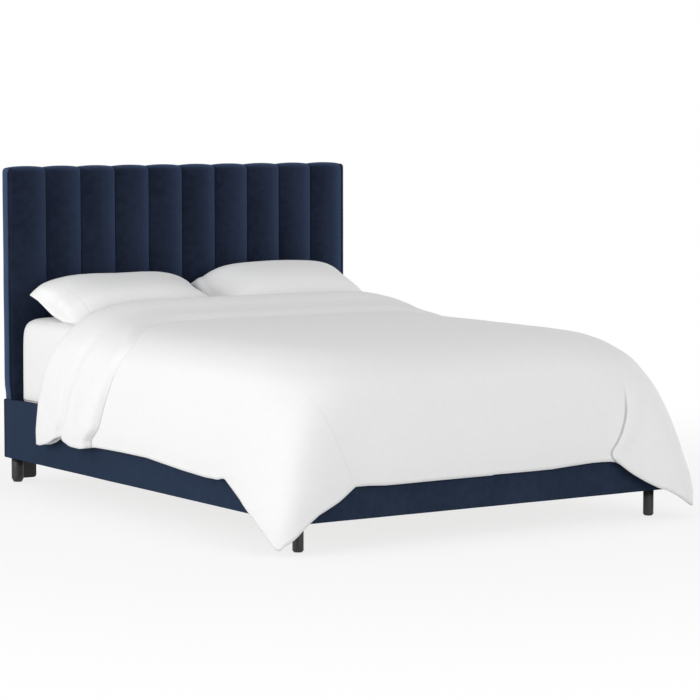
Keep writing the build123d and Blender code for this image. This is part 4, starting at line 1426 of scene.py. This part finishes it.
@dataclass(frozen=True)
class Duvet:
    """A filled duvet over three sides of the bed, with its head end doubled in two soft rolls.

    The hem is a height by the distance from the headboard, and the other curves go by the drop below the top.
    """

    plan: Plan
    finishes: Finishes
    flat_half: float = 0.25
    flat_foot: float = 1.562
    top: float = 0.6649
    wall: float = 0.015
    hem_wall: float = 0.5
    hem_columns: float = 6.0
    roll: float = 0.026
    tucked: float = 0.20
    across: int = 236
    hang: float = 0.46
    band_crowding: float = 1.4
    body_crowding: float = 1.35
    crease_share: float = 0.44
    lip: float = 0.010
    lip_width: float = 0.05
    flap_lip: float = 0.006
    valley: float = 0.0045
    valley_width: float = 0.03
    edge: Points = (
        (0.0, 0.0), (0.12, 0.0), (0.22, 0.0005), (0.3007, 0.005), (0.3794, 0.0141), (0.4307, 0.0285),
        (0.4763, 0.0514), (0.516, 0.088), (0.5352, 0.1273), (0.5425, 0.1832), (0.5505, 0.277),
        (0.5555, 0.3705), (0.5575, 0.464), (0.5575, 0.5575), (0.5575, 0.70),
    )
    hem: Curve = Curve(
        (
            (0.30, 0.192), (0.36, 0.190), (0.42, 0.202), (0.504, 0.238), (0.56, 0.223), (0.62, 0.214),
            (0.69, 0.210), (0.74, 0.219), (0.80, 0.221), (0.943, 0.223), (1.137, 0.223), (1.377, 0.207),
            (1.549, 0.199),
        )
    )
    head_edge: Curve = Curve(
        (
            (0.0, 0.512), (0.05, 0.510), (0.087, 0.492), (0.188, 0.408), (0.306, 0.364), (0.4, 0.350),
            (0.47, 0.342),
        )
    )
    free_edge: Curve = Curve(
        (
            (0.0, 0.745), (0.005, 0.765), (0.014, 0.798), (0.03, 0.846), (0.05, 0.888), (0.07, 0.911),
            (0.087, 0.917), (0.11, 0.908), (0.14, 0.890), (0.183, 0.862), (0.3, 0.808), (0.386, 0.776),
            (0.43, 0.72),
        )
    )
    band_height: Curve = Curve(
        (
            (0.0, 0.068), (0.005, 0.066), (0.014, 0.059), (0.0285, 0.054), (0.051, 0.047), (0.09, 0.040),
            (0.18, 0.033), (0.46, 0.030),
        )
    )
    band_fall: Curve = Curve(
        ((0.0, 0.66), (0.03, 0.70), (0.07, 0.70), (0.12, 0.60), (0.2, 0.40), (0.3, 0.18), (0.42, 0.04))
    )
    free_softness: Curve = Curve(
        ((0.0, 0.040), (0.03, 0.038), (0.09, 0.03), (0.18, 0.022), (0.28, 0.015), (0.4, 0.010))
    )
    crease_depth: Curve = Curve(((0.0, 0.002), (0.09, 0.006), (0.18, 0.012), (0.28, 0.020), (0.4, 0.024)))
    corner_square: Curve = Curve(
        (
            (0.0, 3.1), (0.005, 3.03), (0.014, 3.12), (0.031, 3.2), (0.067, 3.6), (0.104, 4.4),
            (0.14, 5.2), (0.176, 5.9), (0.25, 7.3), (0.322, 8.6), (0.396, 9.6), (0.469, 10.2), (0.7, 10.5),
        )
    )
    flare: Curve = Curve(
        (
            (0.12, 0.0), (0.145, 0.03), (0.176, 0.13), (0.213, 0.228), (0.25, 0.300), (0.286, 0.368),
            (0.322, 0.432), (0.359, 0.506), (0.396, 0.589), (0.432, 0.664), (0.469, 0.750), (0.505, 0.855),
            (0.542, 0.928), (0.579, 0.985), (0.615, 1.0),
        )
    )

    def build(self) -> None:
        """Lay the duvet and give it its filling."""
        profile = Profile.through(self.edge, 3)
        rows = self._rows()
        last = len(rows) - 1
        columns = [2.0 * column / self.across - 1.0 for column in range(self.across + 1)]
        table = [[self._point(profile, across, *row) for across in columns] for row in rows]

        def surface(u: float, v: float) -> Vector:
            """The point at two shares of the table's columns and rows."""
            return table[round(v * last)][round(u * self.across)].spot

        shape = cloth_grid(self.across, last, surface)
        turned_out(shape, Vector((0.0, self.plan.at(1.3), 0.3)))
        made = to_object(shape, "linen_duvet")
        self._fill(made, table)
        seated(made, Body.DUVET, Slot.WHITE_COTTON, self.finishes.bed_linen, "duvet")

    def _rows(self) -> list[tuple[Stage, float]]:
        """The rows of points, closer together at the band's free edge.

        Returns:
            The stage of each row and its share of that stage.
        """
        rows = [(Stage.UNDER, 0.0)]
        for stage in Stage:
            for step in range(1, stage.value + 1):
                share = step / stage.value
                if stage is Stage.BAND:
                    share = 1.0 - (1.0 - share) ** self.band_crowding
                elif stage is Stage.BODY:
                    share = share**self.body_crowding
                rows.append((stage, share))
        return rows

    def _fill(self, made: Piece, table: list[list[DuvetPoint]]) -> None:
        """Thicken the duvet, thinner at its sewn hem, and note where its folds are, for the painted shade
        along them.

        Args:
            made: The duvet's middle surface.
            table: Its points by row and column.
        """
        last = len(table) - 1
        points = [point for row in table for point in row]
        row, column = np.divmod(np.arange(len(points)), self.across + 1)
        steps = np.minimum(np.minimum(column, self.across - column), np.minimum(row, last - row))
        group = made.vertex_groups.new(name="filling")
        for index, away in enumerate(steps):
            full = self.hem_wall + (1.0 - self.hem_wall) * eased(float(away), 0.0, self.hem_columns)
            group.add([index], full, "REPLACE")
        # fold_line and fold_depth place the painted shade along the folds and set how dark it is
        folds = {"fold_line": [p.line for p in points], "fold_depth": [p.depth for p in points]}
        for name, values in folds.items():
            made.data.attributes.new(name, "FLOAT", "POINT").data.foreach_set("value", values)
        thickened(made, self.wall, 0.0)
        made.modifiers["thickness"].vertex_group = group.name

    def _point(self, profile: Profile, across: float, stage: Stage, share: float) -> DuvetPoint:
        """A point of the duvet's middle surface.

        Args:
            profile: The line over the mattress's edge.
            across: Its place across, from -1 at the left hem to 1 at the right hem.
            stage: Its part of the duvet.
            share: Its share of that part.

        Returns:
            The point.
        """
        side = Side.LEFT if across < 0.0 else Side.RIGHT
        shape = DUVET_SIDES[side]
        nominal = profile.reach(self.hang)
        run = abs(across) * (self.flat_half + nominal)
        x, over = min(run, self.flat_half), max(0.0, run - self.flat_half) / nominal
        at_foot = stage is Stage.FOOT
        over_foot = share if at_foot else 0.0
        turn = math.atan2(over_foot, over)
        distance, puff, line, depth = self.flat_foot, 0.0, 1.0, 0.0
        if at_foot:
            hem = shape.hem.at(math.degrees(turn))
        else:
            distance, puff, line, depth = self._along(stage, share, profile.place(over * nominal)[1])
            hem = self.hem.at(distance)
        out, drop, level, up = profile.point(max(over, over_foot) * profile.reach(self.top - hem))
        ring_x, ring_d, face_x, face_d = ring(out, turn, self.corner_square.at(drop))
        if at_foot:
            flap = self.flare.at(drop) * self._flap(math.degrees(turn), shape)
            ring_x += shape.tip[0] * flap
            ring_d += shape.tip[1] * flap
        spot = Vector((side.value * (x + ring_x), self.plan.at(distance + ring_d), self.top - drop))
        facing = Vector((side.value * level * face_x, -level * face_d, up)).normalized()
        puff += self._waves(spot, drop)
        if at_foot:
            line, depth = self._flap_fold(spot, drop, shape)
            puff += depth * self.flap_lip * eased(line, -0.004, 0.012)
            valley = shape.fold_depth * eased(spot.z, 0.36, 0.48) * (1.0 - eased(spot.z, 0.54, 0.62))
            puff -= self.valley * valley * bell(line, self.valley_width)
        return DuvetPoint(spot + facing * puff, line, depth)

    @staticmethod
    def _flap(degrees: float, shape: DuvetSide) -> float:
        """How much of a corner's flap stands out in a direction.

        Args:
            degrees: The direction, from 0 at the side to 90 at the foot.
            shape: This side of the duvet.

        Returns:
            A share, 1 at the corner and 0 at both ends of the flap.
        """
        span = 45.0 - shape.flap_start if degrees < 45.0 else shape.flap_end - 45.0
        past = min(max(45.0 + (degrees - 45.0) * 45.0 / span, 0.0), 90.0)
        return math.sin(math.radians(2.0 * past)) ** 2

    def _along(self, stage: Stage, share: float, drop: float) -> tuple[float, float, float, float]:
        """Follow the duvet from its hidden edge round the fold and on to the foot.

        Args:
            stage: The part of the duvet.
            share: The share of that part.
            drop: How far down this line of the duvet hangs.

        Returns:
            Distance from the headboard, height over the sheet, and the nearest fold line and its depth, which
            sets how dark its painted shade is.
        """
        head, free = self.head_edge.at(drop), self.free_edge.at(drop)
        height = self.band_height.at(drop)
        if stage is Stage.UNDER:
            return head + self.tucked * (1.0 - share), 0.003 * (1.0 - share), 1.0, 0.0
        if stage is Stage.ROLL:
            turn = math.pi * (share - 0.5)
            return head - self.roll * math.cos(turn), height / 2.0 * (1.0 + math.sin(turn)), 1.0, 0.0
        start, end = (head, free) if stage is Stage.BAND else (free, self.flat_foot)
        distance = start + (end - start) * share
        soft = self.free_softness.at(drop)
        puff = height * (1.0 - self.band_fall.at(drop) * eased(distance, head, free - soft))
        puff *= 1.0 - eased(distance, free - 1.4 * soft, free + 0.6 * soft)
        crease = head + self.crease_share * (free - head)
        puff -= self.crease_depth.at(drop) * bell(distance - crease, 0.016 + 0.3 * soft)
        puff += self.lip * eased(drop, 0.12, 0.4) * bell(distance - free + 0.085, self.lip_width)
        # the fold lines on the band and how dark their painted shade is
        lines = (
            (distance - free - 0.5 * soft, 0.12 + 0.75 * eased(drop, 0.08, 0.3)),
            (distance - crease, 0.8 * eased(drop, 0.2, 0.4)),
        )
        line, depth = min(lines, key=lambda pair: abs(pair[0]))
        return distance, max(puff, 0.0), line, depth * (1.0 - eased(abs(line), 0.012, 0.03))

    @staticmethod
    def _waves(spot: Vector, drop: float) -> float:
        """How far the uneven filling stands out at a point.

        Args:
            spot: A point of the duvet.
            drop: How far down it hangs.

        Returns:
            The height over the smooth form.
        """
        broad = lumps(Vector((spot.x, spot.y, spot.z * 0.5)), 0.36, 2.0)
        hanging = eased(drop, 0.06, 0.42)
        stand = 0.0004 + (0.0009 + 0.0020 * hanging) * (1.0 + broad) + 0.0008 * lumps(spot, 0.13, 6.0)
        return stand + hanging * (0.001 + 0.004 * lumps(Vector((spot.x, spot.y, spot.z * 0.22)), 0.23, 9.0))

    @staticmethod
    def _flap_fold(spot: Vector, drop: float, shape: DuvetSide) -> tuple[float, float]:
        """The fold where a corner's flap lies over the foot panel.

        Args:
            spot: A point of the duvet's foot.
            drop: How far down it hangs.
            shape: This side of the duvet.

        Returns:
            How far the point is past the fold line, and how deep the fold is there.
        """
        line = abs(spot.x) - shape.fold.at(spot.z)
        # the depth also sets how dark the painted fold shade is
        depth = shape.fold_depth * eased(shape.fold_top - spot.z, -0.01, 0.10) * eased(drop, 0.08, 0.2)
        return line, depth * (1.0 - eased(abs(line), 0.02, 0.09))


@dataclass(frozen=True)
class CarriedParts:
    """The boards, fittings and hardware that keep their CAD shape and get their finishes here."""

    finishes: Finishes

    def dress(self) -> None:
        """Give every CAD node that still shows a finish."""
        for name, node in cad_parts.items():
            if node.hide_render:
                continue
            material = self._finish(name).material()
            if node.material_slots:
                for slot in node.material_slots:
                    slot.material = material
            else:
                node.data.materials.append(material)
            LOG.info("%s keeps its shape, in %s", name, material.name)

    def _finish(self, name: str) -> Finish:
        """The finish of a CAD node, by the first rule that its name fits.

        Args:
            name: The node.

        Returns:
            Its finish.
        """
        known = self.finishes
        rules = (
            (("headboard_panel",), known.plywood),
            (("headboard_dust_cover",), known.cambric),
            (("headboard_leg_bolts", "headboard_rail"), known.zinc),
            (("headboard_leg",), known.lacquer),
            (("centre_leg", "centre_rail_hangers"), known.powder),
            (("levelling_foot", "front_leg_glides", "rear_leg_glides"), known.plastic),
            (("slat_straps",), known.webbing),
            (("headboard_post", "headboard_centre_stile", "corner_blocks"), known.pine_z),
            (("side_rail", "slat_cleat", "centre_rail"), known.pine_y),
        )
        return next((finish for starts, finish in rules if name.startswith(starts)), known.pine_x)


@dataclass(frozen=True)
class Studio:
    """A pale floor, a white backdrop and plain soft light, with the photograph's camera."""

    place: Colour = (-5.65146, -8.68187, 1.476)
    pitch: float = 5.03
    turn: float = 33.62
    lens: float = 142.19
    sensor: float = 36.0
    fill: float = 0.61
    floor_size: float = 30.0
    floor_white: float = 0.78
    floor_fade: tuple[float, float] = (1.4, 4.0)

    def build(self) -> None:
        """Set up the camera, the lamps, the floor and the backdrop."""
        self._camera()
        self._lamp("key", (-6.5, -0.6, 1.8), (0.0, 0.0, 0.45), 4.0, 200.0)
        self._lamp("foot", (0.5, -7.5, 1.4), (0.0, 0.0, 0.45), 4.0, 135.0)
        self._lamp("right", (6.0, 0.5, 1.1), (0.0, 0.5, 0.6), 3.0, 70.0)
        self._world()
        self._floor()
        bpy.context.scene.view_settings.view_transform = "Standard"

    def _camera(self) -> None:
        """Stand the camera where the photograph was taken."""
        data = bpy.data.cameras.new("camera")
        data.lens, data.sensor_width = self.lens, self.sensor
        data.clip_end = 100.0
        made = bpy.data.objects.new("camera", data)
        made.location = self.place
        made.rotation_euler = (math.radians(90.0 - self.pitch), 0.0, math.radians(-self.turn))
        bpy.context.scene.collection.objects.link(made)
        bpy.context.scene.camera = made

    @staticmethod
    def _lamp(name: str, place: Colour, target: Colour, size: float, power: float) -> None:
        """Hang a square soft lamp.

        Args:
            name: Its name.
            place: Where it hangs.
            target: What it points at.
            size: Its side in metres.
            power: Its power in watts.
        """
        data = bpy.data.lights.new(name, "AREA")
        data.size, data.energy = size, power
        made = bpy.data.objects.new(name, data)
        made.location = place
        made.rotation_euler = (Vector(target) - Vector(place)).to_track_quat("-Z", "Y").to_euler()
        bpy.context.scene.collection.objects.link(made)

    @staticmethod
    def _seen(wires: Wiring) -> Socket:
        """Whether a ray shows a surface, also by reflection, rather than lights with it.

        Args:
            wires: The wiring of the tree that asks.

        Returns:
            1 or 0.
        """
        rays = wires.node("ShaderNodeLightPath").outputs
        seen = wires.maths("MAXIMUM", rays["Is Camera Ray"], rays["Is Glossy Ray"])
        return wires.maths("MAXIMUM", seen, rays["Is Transmission Ray"])

    def _world(self) -> None:
        """White where it is seen, softer where it lights the bed."""
        world = bpy.data.worlds.new("backdrop")
        bpy.context.scene.world = world
        world.use_nodes = True
        wires = Wiring(world.node_tree)
        extra = wires.maths("MULTIPLY", self._seen(wires), 1.0 - self.fill)
        light = {"Color": (1.0, 1.0, 1.0, 1.0), "Strength": wires.maths("ADD", extra, self.fill)}
        wires.feed(world.node_tree.nodes["Background"], light)

    def _floor(self) -> None:
        """A pale floor that keeps the bed's shadow and fades into the backdrop."""
        shape = bmesh.new()
        bmesh.ops.create_grid(shape, x_segments=2, y_segments=2, size=self.floor_size)
        made = to_object(shape, "studio_floor")
        material = bpy.data.materials.new("pale floor")
        material.use_nodes = True
        wires, nodes = Wiring(material.node_tree), material.node_tree.nodes
        pale = {"Base Color": (*grey(0.86), 1.0), "Roughness": 0.9, "Specular IOR Level": 0.0}
        shader = wires.feed(nodes["Principled BSDF"], pale)
        far = wires.node("ShaderNodeVectorMath", operation="LENGTH")
        wires.feed(far, {0: wires.node("ShaderNodeTexCoord").outputs["Object"]})
        fade = wires.between(far.outputs["Value"], *self.floor_fade)
        white = wires.maths("ADD", wires.maths("MULTIPLY", fade, 1.0 - self.floor_white), self.floor_white)
        white = wires.maths("MULTIPLY", white, self._seen(wires))
        glow = wires.node("ShaderNodeEmission").outputs[0]
        mix = wires.feed(wires.node("ShaderNodeMixShader"), {0: white, 1: shader.outputs[0], 2: glow})
        wires.join(mix.outputs[0], nodes["Material Output"].inputs["Surface"])
        made.data.materials.append(material)


def main() -> None:
    """Build the bed's pieces in order, dress the rest and set up the studio."""
    logging.basicConfig(level=logging.INFO, format="%(name)s: %(message)s")
    plan, finishes = Plan.read(), Finishes()
    Studio().build()
    Headboard(plan, finishes).build()
    RailCovers(finishes).build()
    Legs(finishes).build()
    bed = Mattress(plan, finishes).build()
    Pillow(plan, finishes, bed, Side.LEFT).build()
    fuller = {"rise": 0.112, "tilt": 12.0, "lift": 0.070, "skew": 0.3, "droop": 0.010, "half_length": 0.354}
    Pillow(plan, finishes, bed, Side.RIGHT, **fuller).build()
    Duvet(plan, finishes).build()
    CarriedParts(finishes).dress()


if __name__ == "__main__":
    main()
